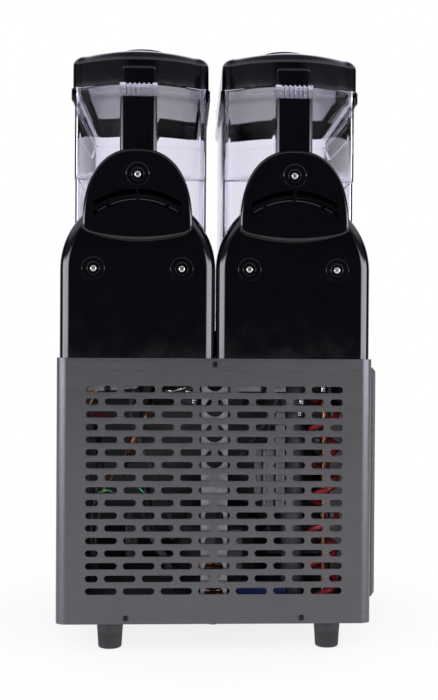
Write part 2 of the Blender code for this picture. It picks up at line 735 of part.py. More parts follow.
# ---- Refrigeration and controls ----------------------------------------------------------
def smooth_route(points, per_span=3):
    """Points along a Catmull-Rom curve through the given points."""
    route = [Vector(point) for point in points]
    padded = [2 * route[0] - route[1]] + route + [2 * route[-1] - route[-2]]
    result = []
    for index in range(1, len(padded) - 2):
        before, start, end, after = padded[index - 1:index + 3]
        for step in range(per_span):
            t = step / per_span
            result.append(0.5 * (2 * start + (end - before) * t
                                 + (2 * before - 5 * start + 4 * end - after) * t**2
                                 + (3 * start - before - 3 * end + after) * t**3))
    result.append(route[-1])
    return result


def make_pipe(name, points, radius, mat):
    curve = bpy.data.curves.new(name, "CURVE")
    curve.dimensions = "3D"
    curve.bevel_depth = radius
    curve.bevel_resolution = 1
    curve.use_fill_caps = True
    spline = curve.splines.new("POLY")
    route = smooth_route(points)
    spline.points.add(len(route) - 1)
    for point, place_in_route in zip(spline.points, route):
        point.co = (*place_in_route, 1.0)
    curve.materials.append(mat)
    pipe = bpy.data.objects.new(name, curve)
    bpy.context.collection.objects.link(pipe)
    return pipe


def make_refrigeration(mats):
    floor = PAN_TOP + GAP
    shell = [
        (0, floor), (0.040, floor), (0.044, floor + 0.010), (0.060, floor + 0.018), (0.062, floor + 0.050),
        (0.060, floor + 0.105), (0.046, floor + 0.128), (0.020, floor + 0.140), (0, floor + 0.142),
    ]
    add("compressor", turned(shell, "Z", (-0.012, 0.120), 20), mats["satin_black"])
    add("condenser", box((-0.190, -0.085, 0.075), (-0.160, 0.165, 0.305)), mats["aluminium"])
    make_fan(mats)
    drier = [(0, 0.085), (0.004, 0.085), (0.010, 0.095), (0.010, 0.150), (0.004, 0.160), (0, 0.160)]
    add("filter_drier", turned(drier, "Z", (0.110, 0.120), 12), mats["copper"])
    for side, route in (
        (-1, ((-0.100, 0.1775, 0.430), (-0.100, 0.192, 0.415), (-0.100, 0.195, 0.360),
              (-0.075, 0.195, 0.300), (-0.045, 0.170, 0.250), (-0.012, 0.120, 0.200))),
        (1, ((0.100, 0.1775, 0.430), (0.100, 0.192, 0.415), (0.100, 0.195, 0.360),
             (0.110, 0.200, 0.300), (0.080, 0.185, 0.220), (0.060, 0.130, 0.160),
             (0.0535, 0.122, 0.120))),
    ):
        make_pipe(f"refrigerant_line_{side_name(side)}", route, 0.004, mats["copper"])
    discharge = ((-0.030, 0.165, 0.195), (-0.080, 0.212, 0.285), (-0.125, 0.222, 0.308),
                 (-0.145, 0.222, 0.280), (-0.145, 0.222, 0.120), (-0.150, 0.215, 0.085),
                 (-0.172, 0.190, 0.085), (-0.175, 0.1705, 0.095))
    make_pipe("discharge_line", discharge, 0.004, mats["copper"])
    add("electrical_box", box((0.105, -0.110, 0.215), (0.185, 0.020, 0.335)), mats["grey"])
    gland = [(0, 0.0240), (0.006, 0.0240), (0.006, 0.0280), (0.009, 0.0290), (0.009, 0.0332), (0, 0.0332)]
    add("cable_gland", turned(gland, "Z", (0.0, 0.215), 12), mats["grey"])


def make_fan(mats):
    """An axial fan behind the condenser: shroud, motor on its strap, and blades on the motor's shaft."""
    shroud = add("fan_shroud", box((-0.1580, -0.075, 0.080), (-0.1565, 0.155, 0.300)), mats["zinc"])
    cut(shroud, turned(rod(FAN_RADIUS + 0.005, -0.17, -0.15), "X", (FAN_Y, FAN_Z), 28))
    reach = 0.102
    strap = [
        (-0.1562, FAN_Z + reach), (-0.0830, FAN_Z + reach), (-0.0830, FAN_Z - reach),
        (-0.1562, FAN_Z - reach), (-0.1562, FAN_Z - reach + 0.002), (-0.0850, FAN_Z - reach + 0.002),
        (-0.0850, FAN_Z + reach - 0.002), (-0.1562, FAN_Z + reach - 0.002),
    ]
    add("fan_bracket", prism(strap, "Y", FAN_Y - 0.010, FAN_Y + 0.010), mats["zinc"])
    motor = [
        (0, -0.0853), (0.030, -0.0853), (0.034, -0.090), (0.034, -0.118), (0.028, -0.124), (0.003, -0.126),
        (0.003, -0.148), (0, -0.148),
    ]
    add("fan_motor", turned(motor, "X", (FAN_Y, FAN_Z), 16), mats["satin_black"])
    hub = [
        (0, -0.153), (0.018, -0.153), (0.020, -0.150), (0.020, -0.130), (0.0034, -0.130), (0.0034, -0.1485),
        (0, -0.1485),
    ]
    fan = add("fan_blades", turned(hub, "X", (FAN_Y, FAN_Z), 15), mats["satin_black"])
    blades = bmesh.new()
    for index in range(5):
        turn = Matrix.Rotation(2 * math.pi * index / 5, 3, "X")
        rings = []
        for radius, half, sweep in ((0.0185, 0.012, 0.006), (0.055, 0.024, 0.008), (0.088, 0.028, 0.008)):
            ring = []
            for across, thick in ((-1, -0.0006), (1, -0.0006), (1, 0.0006), (-1, 0.0006)):
                spot = Vector((-0.1415 + across * sweep + thick, across * half, radius))
                ring.append(turn @ spot + Vector((0, FAN_Y, FAN_Z)))
            rings.append(ring)
        loft(rings, blades)
    unite(fan, blades)
    ride(fan, joint_empty("fan_axis", (-0.1415, FAN_Y, FAN_Z)))


def make_filter_panel(mats, root):
    """The slotted cover over the condenser's air inlet, standing proud of the side."""
    outer = -HALF - 0.0088
    inner = -HALF - GAP
    edge = 0.004
    levels = ((inner, 0.0), (outer + edge, 0.0), (outer, edge))
    rings = []
    for x, inset in levels:
        plan = rounded_rectangle(-0.110 + inset, 0.226 - inset, 0.060 + inset, 0.363 - inset, 0.006, 2)
        rings.append([Vector((x, y, z)) for y, z in plan])
    panel = add("filter_panel", loft(rings), mats["satin_black"])
    slots = bmesh.new()
    for row in range(11):
        z = 0.090 + row * 0.020
        box((outer - 0.01, -0.080, z), (inner + 0.01, 0.050, z + 0.010), slots)
        box((outer - 0.01, 0.060, z), (inner + 0.01, 0.190, z + 0.010), slots)
    cut(panel, slots)
    ride(panel, joint_empty("filter_panel_axis", (outer, 0.05, 0.21), root))


def make_controls(mats, root):
    """The fascia on the front, with a power rocker in the middle and one mode rocker for each bowl."""
    fascia = add("control_panel",
                 prism(rounded_rectangle(-0.120, 0.120, SWITCH_Z - 0.032, SWITCH_Z + 0.032, 0.006, 2), "Y",
                       FRONT_Y - 0.007, FRONT_Y - GAP), mats["satin_black"])
    holes = bmesh.new()
    for x in SWITCH_X:
        box((x - 0.0105, FRONT_Y - 0.02, SWITCH_Z - 0.0155), (x + 0.0105, FRONT_Y + 0.02, SWITCH_Z + 0.0155),
            holes)
    cut(fascia, holes)
    pivot_y = FRONT_Y - 0.004
    profile = [
        (0.004, -0.008), (-0.0020, -0.0130), (-0.0075, -0.0135), (-0.0055, 0.0), (-0.0075, 0.0135),
        (-0.0020, 0.0130), (0.004, 0.008),
    ]
    for x, name in zip(SWITCH_X, ("mode_switch_left", "power_switch", "mode_switch_right")):
        outline = [(pivot_y + u, SWITCH_Z + v) for u, v in profile]
        rocker = add(name, prism(outline, "X", x - 0.0092, x + 0.0092), mats["gloss_black"])
        ride(rocker, joint_empty(f"{name}_axis", (x, pivot_y, SWITCH_Z), root))


def make_drip_tray(mats, root):
    rear = FRONT_Y - GAP
    shelf = [
        (rear, 0.0403), (-0.235, 0.0403), (-0.235, TRAY_BOTTOM - GAP), (rear - 0.002, TRAY_BOTTOM - GAP),
        (rear - 0.002, 0.060), (rear, 0.060),
    ]
    add("tray_bracket", prism(shelf, "X", -0.110, 0.110), mats["zinc"])
    axis = joint_empty("drip_tray_axis", (0, TRAY_REAR, TRAY_BOTTOM), root)

    def level(inset, z):
        plan = rounded_rectangle(-TRAY_HALF + inset, TRAY_HALF - inset, TRAY_FRONT + inset,
                                 TRAY_REAR - inset, 0.012 - inset)
        return [Vector((px, py, z)) for px, py in plan]

    ledge_z = 0.0735
    rings = [
        level(0.0055, TRAY_BOTTOM + 0.0025), level(0.0055, ledge_z), level(0.0025, ledge_z),
        level(0.0025, TRAY_TOP), level(0.0, TRAY_TOP), level(0.0, TRAY_BOTTOM),
    ]
    ride(add("drip_tray", loft(rings), mats["satin_black"]), axis)
    grate = add("drip_grate", loft([level(0.0035, ledge_z + GAP), level(0.0035, ledge_z + 0.0025)]),
                mats["steel"])
    slots = bmesh.new()
    for index in range(15):
        x = (index - 7) * 0.0205
        box((x - 0.006, TRAY_FRONT + 0.016, ledge_z - 0.01), (x + 0.006, TRAY_REAR - 0.016, ledge_z + 0.01),
            slots)
    cut(grate, slots)
    ride(grate, joint_empty("drip_grate_axis", (0, (TRAY_FRONT + TRAY_REAR) / 2, ledge_z), axis))


def make_materials():
    return {
        "housing": material("housing_metal", (0.085, 0.082, 0.085), 0.38, 0.9),
        "zinc": material("zinc_sheet", (0.45, 0.46, 0.47), 0.45, 0.9),
        "gloss_black": material("gloss_black", (0.004, 0.004, 0.005), 0.12),
        "satin_black": material("satin_black", (0.015, 0.015, 0.016), 0.45),
        "clear": material("clear_plastic", (0.86, 0.86, 0.92), 0.05, 0.0, 0.3),
        "steel": material("stainless_steel", (0.60, 0.60, 0.60), 0.25, 1.0),
        "white": material("white_plastic", (0.80, 0.80, 0.78), 0.35),
        "seal": material("bowl_seal_rubber", (0.62, 0.62, 0.60), 0.7),
        "rubber": material("foot_rubber", (0.010, 0.010, 0.011), 0.6),
        "motor": material("gearmotor_cast", (0.35, 0.35, 0.36), 0.5, 0.8),
        "copper": material("copper_pipe", (0.72, 0.36, 0.20), 0.3, 1.0),
        "aluminium": material("condenser_fins", (0.62, 0.63, 0.64), 0.4, 1.0),
        "grey": material("grey_plastic", (0.42, 0.42, 0.42), 0.5),
    }


def build():
    clear_scene()
    mats = make_materials()
    root = joint_empty("machine", (0, 0, 0))
    make_housing(mats)
    make_bulkhead(mats["zinc"])
    make_feet(mats, root)
    for side in (-1, 1):
        make_motor_cover(side, mats)
        make_auger(side, mats, root)
        make_bowl(side, mats, root)
    make_refrigeration(mats)
    make_filter_panel(mats, root)
    make_controls(mats, root)
    make_drip_tray(mats, root)


build()
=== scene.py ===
import math

import bmesh
import bpy
from mathutils import Matrix, Vector


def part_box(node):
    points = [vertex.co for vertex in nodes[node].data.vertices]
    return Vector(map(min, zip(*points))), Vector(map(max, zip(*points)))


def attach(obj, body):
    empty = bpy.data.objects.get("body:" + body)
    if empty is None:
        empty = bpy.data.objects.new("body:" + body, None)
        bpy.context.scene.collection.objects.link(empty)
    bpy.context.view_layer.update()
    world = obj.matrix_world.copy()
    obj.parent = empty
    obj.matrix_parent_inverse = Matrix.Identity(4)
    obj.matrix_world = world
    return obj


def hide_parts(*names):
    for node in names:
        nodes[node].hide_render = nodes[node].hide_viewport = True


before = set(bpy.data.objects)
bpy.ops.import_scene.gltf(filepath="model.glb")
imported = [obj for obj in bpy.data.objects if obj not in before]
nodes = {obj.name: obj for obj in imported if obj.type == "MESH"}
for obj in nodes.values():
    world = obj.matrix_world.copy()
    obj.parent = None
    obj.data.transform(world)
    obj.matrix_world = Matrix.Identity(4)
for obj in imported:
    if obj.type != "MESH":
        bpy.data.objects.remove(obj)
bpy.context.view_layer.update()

# ---- Dimensions shared with the CAD part, in metres ---------------------------------------
REAR_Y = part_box("rear_panel")[1].y
BODY_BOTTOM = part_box("rear_panel")[0].z
BODY_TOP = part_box("rear_panel")[1].z
FRONT_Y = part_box("front_panel")[0].y
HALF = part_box("rear_panel")[1].x
SHEET = 0.0015
CORNER = 0.014
RETURN = REAR_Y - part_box("rear_panel")[0].y
BOWL_X = 0.100
AXIS_Z = 0.488
SIDES = {"left": -BOWL_X, "right": BOWL_X}
COVER_RADIUS = 0.0996
COVER_SCREW_Z = 0.4887
HOOD_SCREW_Z = 0.608
COVER_EDGE = 0.014
COVER_WALL = 0.0025
HOOD_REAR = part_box("vent_hood_left")[1].y
HOOD_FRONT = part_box("vent_hood_left")[0].y
LUG_TOP = 0.727
TAU = 2 * math.pi
HEX_HEAD = (0.0046, 0.0028)
SCREW_SINK = 0.0047
SWITCH_X = (-0.070, 0.0, 0.070)
SWITCH_Z = 0.315
WIRE_RADIUS = 0.0012
CABLE_RADIUS = 0.0030
SIDE_LIGHT = 9.0
ROOM_LIGHT = 0.02


def both(*stems):
    return tuple(f"{stem}_{side}" for stem in stems for side in SIDES)


# ---- Mesh helpers ------------------------------------------------------------------------
def place(axis, u, v, height):
    if axis == "X":
        return Vector((height, u, v))
    if axis == "Y":
        return Vector((u, height, v))
    return Vector((u, v, height))


def ring_at(axis, outline, height):
    return [place(axis, u, v, height) for u, v in outline]


def bridge(bm, first, second):
    count = max(len(first), len(second))
    for index in range(count):
        after = (index + 1) % count
        corners = []
        for ring, spot in ((first, index), (first, after), (second, after), (second, index)):
            vertex = ring[spot % len(ring)]
            if vertex not in corners:
                corners.append(vertex)
        bm.faces.new(corners)


def loft(rings, bm=None, caps=True, closed=False):
    """Join rings of points into one skin; with caps it is a closed solid."""
    bm = bm or bmesh.new()
    made = [[bm.verts.new(point) for point in ring] for ring in rings]
    for first, second in zip(made, made[1:]):
        bridge(bm, first, second)
    if closed:
        bridge(bm, made[-1], made[0])
    elif caps:
        for ring in (made[0], made[-1]):
            if len(ring) > 2:
                bm.faces.new(ring)
    return bm


def prism(outline, axis, low, high, bm=None):
    return loft([ring_at(axis, outline, height) for height in (low, high)], bm)


def circle(axis, centre, radius, height, steps):
    angles = [TAU * step / steps for step in range(steps)]
    return [place(axis, centre[0] + radius * math.cos(a), centre[1] + radius * math.sin(a), height)
            for a in angles]


def turned(profile, axis, centre, steps=48, bm=None):
    """Turn (radius, height) points about an axis; a radius of 0 is a pole."""
    rings = [circle(axis, centre, r, h, steps if r > 0 else 1) for r, h in profile]
    return loft(rings, bm, caps=False, closed=profile[0][0] > 0)


def round_rect(u_low, u_high, v_low, v_high, radius, steps=6):
    points = []
    for u, v, start in ((u_high - radius, v_high - radius, 0), (u_low + radius, v_high - radius, 90),
                        (u_low + radius, v_low + radius, 180), (u_high - radius, v_low + radius, 270)):
        points += [(u + radius * c, v + radius * s) for c, s in sweep(steps, 90, start)]
    return points


def sweep(steps, turn=90, start=0, first=0):
    """(cosine, sine) of the angles along an arc, in degrees, from the first step to the last."""
    angles = [math.radians(start + turn * step / steps) for step in range(first, steps + 1)]
    return [(math.cos(angle), math.sin(angle)) for angle in angles]


def box(low, high, bm=None):
    outline = [(low[0], low[1]), (high[0], low[1]), (high[0], high[1]), (low[0], high[1])]
    return prism(outline, "Z", low[2], high[2], bm)


def mesh_object(name, bm, sharp=35):
    bmesh.ops.recalc_face_normals(bm, faces=bm.faces)
    mesh = bpy.data.meshes.new(name)
    bm.to_mesh(mesh)
    bm.free()
    mesh.shade_smooth()
    mesh.set_sharp_from_angle(angle=math.radians(sharp))
    obj = bpy.data.objects.new(name, mesh)
    bpy.context.scene.collection.objects.link(obj)
    return obj


def apply_modifiers(obj, sharp=35):
    graph = bpy.context.evaluated_depsgraph_get()
    mesh = bpy.data.meshes.new_from_object(obj.evaluated_get(graph))
    obj.modifiers.clear()
    obj.data = mesh
    mesh.shade_smooth()
    mesh.set_sharp_from_angle(angle=math.radians(sharp))


def carve(obj, steps, sharp=35):
    """Apply Booleans in turn: steps is a list of (operation, bmesh)."""
    for operation, bm in steps:
        other = mesh_object("operand", bm)
        modifier = obj.modifiers.new("carve", "BOOLEAN")
        modifier.operation = operation
        modifier.object = other
        apply_modifiers(obj, sharp)
        bpy.data.objects.remove(other)


def soften(obj, width, segments=2, angle=38):
    """Round the sharp edges of a piece, keeping its flat faces flat."""
    bevel = obj.modifiers.new("edge", "BEVEL")
    bevel.width = width
    bevel.segments = segments
    bevel.limit_method = "ANGLE"
    bevel.angle_limit = math.radians(angle)
    bevel.harden_normals = True
    return obj


def even_normals(obj):
    """Let the large flat faces keep their own normals beside the small rounded ones."""
    modifier = obj.modifiers.new("normals", "WEIGHTED_NORMAL")
    modifier.keep_sharp = True
    modifier.weight = 100
    return obj


def finish_piece(obj, mat, body, slot, *replaced):
    obj.data.materials.clear()
    obj.data.materials.append(mat)
    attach(obj, body)
    if replaced:
        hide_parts(*replaced)
    return obj


def tube_curve(name, points, radius, steps=10):
    """A round tube as a mesh along a smooth line through points."""
    route = smooth(points, steps)
    rings = []
    normal = None
    for index, spot in enumerate(route):
        ahead = route[min(index + 1, len(route) - 1)]
        behind = route[max(index - 1, 0)]
        tangent = (ahead - behind).normalized()
        if normal is None:
            normal = tangent.orthogonal().normalized()
        normal = (normal - normal.dot(tangent) * tangent).normalized()
        side = tangent.cross(normal)
        rings.append([spot + radius * (normal * math.cos(TAU * k / 10) + side * math.sin(TAU * k / 10))
                      for k in range(10)])
    return mesh_object(name, loft(rings), 50)


def smooth(points, per_span):
    """Points along a Catmull-Rom curve through the given points."""
    route = [Vector(point) for point in points]
    padded = [2 * route[0] - route[1]] + route + [2 * route[-1] - route[-2]]
    result = []
    for index in range(1, len(padded) - 2):
        before, start, end, after = padded[index - 1:index + 3]
        for step in range(per_span):
            t = step / per_span
            result.append(0.5 * (2 * start + (end - before) * t
                                 + (2 * before - 5 * start + 4 * end - after) * t**2
                                 + (3 * start - before - 3 * end + after) * t**3))
    result.append(route[-1])
    return result


# ---- Materials ---------------------------------------------------------------------------
def add_node(tree, kind, **settings):
    """A new node with its inputs and properties set by name."""
    node = tree.nodes.new(kind)
    for key, value in settings.items():
        if key in node.inputs:
            node.inputs[key].default_value = value
        else:
            setattr(node, key, value)
    return node


def map_range(tree, value, low, high, start, end, kind="LINEAR"):
    node = add_node(tree, "ShaderNodeMapRange", interpolation_type=kind,
                    **{"From Min": low, "From Max": high, "To Min": start, "To Max": end})
    tree.links.new(value, node.inputs["Value"])
    return node.outputs["Result"]


class Shader:
    """A Principled material whose colour, roughness and bump come from procedural nodes."""

    def __init__(self, name, color, roughness, metallic=0.0):
        self.mat = bpy.data.materials.new(name)
        self.mat.use_nodes = True
        self.tree = self.mat.node_tree
        self.bsdf = self.tree.nodes["Principled BSDF"]
        self.bsdf.inputs["Base Color"].default_value = (*color, 1)
        self.bsdf.inputs["Roughness"].default_value = roughness
        self.bsdf.inputs["Metallic"].default_value = metallic
        self.color = color
        self.roughness = roughness
        self.mat.diffuse_color = (*color, 1)

    def add(self, kind, **settings):
        return add_node(self.tree, kind, **settings)

    def link(self, start, end):
        self.tree.links.new(start, end)

    def coordinates(self, scale=(1, 1, 1)):
        where = self.add("ShaderNodeTexCoord")
        mapping = self.add("ShaderNodeMapping")
        mapping.inputs["Scale"].default_value = scale
        self.link(where.outputs["Object"], mapping.inputs["Vector"])
        return mapping.outputs["Vector"]

    def noise(self, scale, stretch=(1, 1, 1), detail=4.0, rough=0.6):
        node = self.add("ShaderNodeTexNoise", Scale=scale, Detail=detail, Roughness=rough)
        self.link(self.coordinates(stretch), node.inputs["Vector"])
        return node.outputs["Fac"]

    def spread(self, value, low, high):
        """Map a texture's middle range onto low..high."""
        return map_range(self.tree, value, 0.3, 0.7, low, high)

    def vary_roughness(self, value, amount):
        self.link(self.spread(value, self.roughness - amount, self.roughness + amount),
                  self.bsdf.inputs["Roughness"])

    def vary_color(self, value, other, strength=1.0):
        mix = self.add("ShaderNodeMix", data_type="RGBA")
        mix.inputs[6].default_value = (*self.color, 1)
        mix.inputs[7].default_value = (*other, 1)
        self.link(self.spread(value, 0.0, strength), mix.inputs[0])
        self.link(mix.outputs[2], self.bsdf.inputs["Base Color"])

    def bump(self, value, distance, strength=1.0):
        node = self.add("ShaderNodeBump", Strength=strength, Distance=distance)
        self.link(value, node.inputs["Height"])
        previous = self.bsdf.inputs["Normal"].links
        if previous:
            self.link(previous[0].from_socket, node.inputs["Normal"])
        self.link(node.outputs["Normal"], self.bsdf.inputs["Normal"])

    def set(self, **values):
        for key, value in values.items():
            self.bsdf.inputs[key.replace("_", " ")].default_value = value
        return self


def brushed_metal(name, color, roughness, stretch, darker):
    """Sheet metal with fine brushing along one axis, cloudy stains and slight waviness."""
    shader = Shader(name, color, roughness, 1.0)
    grain = shader.noise(900, stretch, 2.0, 0.7)
    cloud = shader.noise(9, (1, 1, 1), 3.0)
    shader.vary_color(cloud, darker, 0.7)
    shader.vary_roughness(grain, 0.07)
    shader.bump(grain, 0.00003)
    shader.bump(shader.noise(14), 0.0004, 0.25)
    return shader.mat


def gloss_plastic(name, color, roughness=0.07, index=1.5):
    """A polished moulding with faint sink waviness, dust and fine handling marks."""
    shader = Shader(name, color, roughness)
    shader.vary_roughness(shader.noise(38, (1, 1, 1), 6.0), 0.035)
    shader.vary_color(shader.noise(420, (1, 1, 1), 2.0), [c * 1.8 + 0.001 for c in color], 0.5)
    shader.bump(shader.noise(22), 0.00035, 0.12)
    shader.set(IOR=index)
    return shader.mat


def satin_plastic(name, color, roughness, grain_scale=900):
    """Moulded plastic with a fine spark-eroded grain."""
    shader = Shader(name, color, roughness)
    grain = shader.noise(grain_scale, (1, 1, 1), 3.0)
    shader.bump(grain, 0.00012, 0.5)
    shader.vary_roughness(shader.noise(30), 0.06)
    shader.vary_color(shader.noise(12), [c * 0.82 for c in color], 0.8)
    return shader.mat


def clear_plastic(name):
    """Polycarbonate: clear face on, and lilac where it is seen edge on."""
    shader = Shader(name, (0.955, 0.955, 0.985), 0.03)
    edge = shader.add("ShaderNodeLayerWeight", Blend=0.32)
    mix = shader.add("ShaderNodeMix", data_type="RGBA")
    mix.inputs[6].default_value = (0.87, 0.86, 0.92, 1)
    mix.inputs[7].default_value = (0.46, 0.44, 0.62, 1)
    shader.link(edge.outputs["Facing"], mix.inputs[0])
    shader.link(mix.outputs[2], shader.bsdf.inputs["Base Color"])
    shader.vary_roughness(shader.noise(26), 0.015)
    shader.bump(shader.noise(7), 0.0012, 0.18)
    shader.set(Transmission_Weight=1.0, IOR=1.14)
    return shader.mat


def galvanised(name, color):
    """Zinc-coated sheet with its crystal spangle."""
    shader = Shader(name, color, 0.42, 0.45)
    spangle = shader.add("ShaderNodeTexVoronoi", Scale=110.0)
    shader.link(shader.coordinates(), spangle.inputs["Vector"])
    split = shader.add("ShaderNodeSeparateColor")
    shader.link(spangle.outputs["Color"], split.inputs["Color"])
    shader.vary_color(split.outputs["Red"], [c * 0.72 for c in color], 0.8)
    shader.vary_roughness(split.outputs["Green"], 0.08)
    shader.bump(shader.noise(60), 0.0001, 0.3)
    return shader.mat


def bare_metal(name, color, roughness, stain):
    """Drawn or cast metal with tarnish in patches and fine scratches."""
    shader = Shader(name, color, roughness, 1.0)
    shader.vary_color(shader.noise(45, (1, 1, 1), 5.0), stain, 0.8)
    shader.vary_roughness(shader.noise(120), 0.10)
    shader.bump(shader.noise(300), 0.00005, 0.5)
    return shader.mat


def finned(name, color):
    """Condenser block: thin upright fins, drawn as light stripes with painted shade in the dark gaps between
    them.
    """
    shader = Shader(name, color, 0.4, 1.0)
    wave = shader.add("ShaderNodeTexWave", Scale=120.0, Distortion=0.4)
    wave.bands_direction = "Y"
    shader.link(shader.coordinates(), wave.inputs["Vector"])
    # The near-black colour is painted shade in the gaps between the fins, not a colour of the fins
    # themselves.
    shader.vary_color(wave.outputs["Fac"], (0.03, 0.03, 0.03), 0.9)
    shader.bump(wave.outputs["Fac"], 0.001)
    return shader.mat


def rubber(name, color):
    shader = Shader(name, color, 0.62)
    shader.bump(shader.noise(700), 0.0001, 0.6)
    shader.vary_color(shader.noise(25), [c * 2.2 for c in color], 0.6)
    shader.vary_roughness(shader.noise(60), 0.08)
    return shader.mat


WIRE_COLORS = {
    "red": (0.55, 0.02, 0.02), "blue": (0.008, 0.016, 0.085), "yellow": (0.38, 0.28, 0.03),
    "green": (0.05, 0.38, 0.16), "orange": (0.30, 0.10, 0.03),
}


def make_materials():
    return {
        "housing": brushed_metal("housing_metal", (0.125, 0.122, 0.130), 0.33, (0.02, 1, 1),
                                 (0.108, 0.106, 0.112)),
        "zinc": galvanised("zinc_sheet", (0.20, 0.205, 0.225)),
        "black": gloss_plastic("gloss_black", (0.0012, 0.0012, 0.0018)),
        "lining": gloss_plastic("lid_lining_black", (0.020, 0.020, 0.022), 0.04, 2.4),
        "satin": satin_plastic("satin_black", (0.012, 0.012, 0.013), 0.42),
        "clear": clear_plastic("clear_polycarbonate"),
        "panel": satin_plastic("filter_panel_metal", (0.075, 0.074, 0.082), 0.30),
        "steel": brushed_metal("stainless_steel", (0.62, 0.61, 0.60), 0.24, (1, 0.03, 1), (0.5, 0.5, 0.5)),
        "screw": bare_metal("screw_steel", (0.72, 0.70, 0.68), 0.22, (0.55, 0.53, 0.51)),
        "dark_screw": bare_metal("blackened_screw", (0.035, 0.035, 0.04), 0.35, (0.02, 0.02, 0.02)),
        "white": satin_plastic("white_moulding", (0.80, 0.80, 0.79), 0.30, 500),
        "seal": rubber("seal_silicone", (0.60, 0.60, 0.58)),
        "rubber": rubber("foot_rubber", (0.010, 0.010, 0.011)),
        "cast": bare_metal("die_cast", (0.42, 0.42, 0.43), 0.5, (0.3, 0.3, 0.3)),
        "copper": bare_metal("copper_tube", (0.42, 0.19, 0.11), 0.30, (0.20, 0.08, 0.05)),
        "fins": finned("condenser_fins", (0.66, 0.67, 0.69)),
        "grey": satin_plastic("grey_moulding", (0.13, 0.135, 0.15), 0.45),
        "case": satin_plastic("dark_case", (0.018, 0.019, 0.023), 0.4, 400),
        "shell": satin_plastic("compressor_paint", (0.010, 0.010, 0.011), 0.35, 300),
        "hose": gloss_plastic("red_hose", (0.16, 0.012, 0.014), 0.25),
        "foam": rubber("pipe_foam", (0.030, 0.031, 0.035)),
        **{key: satin_plastic(f"{key}_wire", color, 0.4) for key, color in WIRE_COLORS.items()},
    }


# ---- Outlines ----------------------------------------------------------------------------
def bullet(radius, bottom, x, steps=48):
    arch = [(x + radius * c, AXIS_Z + radius * s) for c, s in sweep(steps, 180)]
    return [(x + radius, bottom)] + arch + [(x - radius, bottom)]


def bullet_rings(x, radius, edge, bottom, front, rear, steps=10):
    rings = [ring_at("Y", bullet(radius, bottom, x), front)]
    for c, s in sweep(steps):
        rings.append(ring_at("Y", bullet(radius - edge * (1 - c), bottom, x), rear - edge + edge * s))
    return rings


def hood_outline(x, inset=0.0, steps=64, bottom_steps=24):
    """A superellipse dome with small lower corners, over a shallow curved lower edge."""
    half = 0.070 - inset
    rise = 0.102 - inset * 1.2
    base = 0.5385 + inset * 0.2
    dip = 0.0145 - inset
    points = []
    for step in range(steps + 1):
        angle = math.pi * step / steps
        across = abs(math.cos(angle)) ** (2 / 2.4)
        up = abs(math.sin(angle)) ** (2 / 2.4)
        points.append((x + math.copysign(half * across, math.cos(angle)), base + rise * up))
    for step in range(1, bottom_steps):
        across = -1 + 2 * step / bottom_steps
        corner = 0.003 * (1 - abs(across) ** 18)
        points.append((x + half * across, base - corner - (dip - 0.003) * (1 - across**2)))
    return points


def bowl_plan(x, half, rear_corner, rear_centre, front, front_radius, rear_radius):
    """Bowed rear edge, straight sides, rounded corners; (x, y) points."""
    front_radius = min(front_radius, half * 0.95)
    rear_radius = min(rear_radius, half * 0.95)
    points = []
    steps = 24
    reach = half - rear_radius
    for step in range(steps + 1):
        across = 1 - 2 * step / steps
        bow = rear_corner + (rear_centre - rear_corner) * (1 - across**2 * (reach / half) ** 2)
        points.append((x + reach * across, bow))
    edge = rear_corner + (rear_centre - rear_corner) * (1 - (reach / half) ** 2)
    left = [(rear_radius * s, edge - rear_radius * 1.15 * (1 - c)) for c, s in sweep(6, first=1)]
    points += [(x - reach - px, py) for px, py in left]
    for centre_x, start in ((-(half - front_radius), 180), (half - front_radius, 270)):
        points += [(x + centre_x + front_radius * c, front + front_radius + front_radius * s)
                   for c, s in sweep(8, 90, start)]
    points += [(x + reach + px, py) for px, py in reversed(left)]
    return points


# ---- Housing -----------------------------------------------------------------------------
def slot_loops():
    """Outlines of the staggered round-ended slots in the rear panel; (x, z) points."""
    height = 0.0082
    space = 0.0078
    loops = []
    for row in range(17):
        lengths = [0.0404] * 7 if row % 2 == 0 else [0.0165] + [0.0404] * 6 + [0.0165]
        z = 0.0753 + row * 0.0162
        x = -(sum(lengths) + space * (len(lengths) - 1)) / 2
        for length in lengths:
            loops.append(round_rect(x, x + length, z - height / 2, z + height / 2, height / 2 - 0.00002, 6))
            x += length + space
    return loops


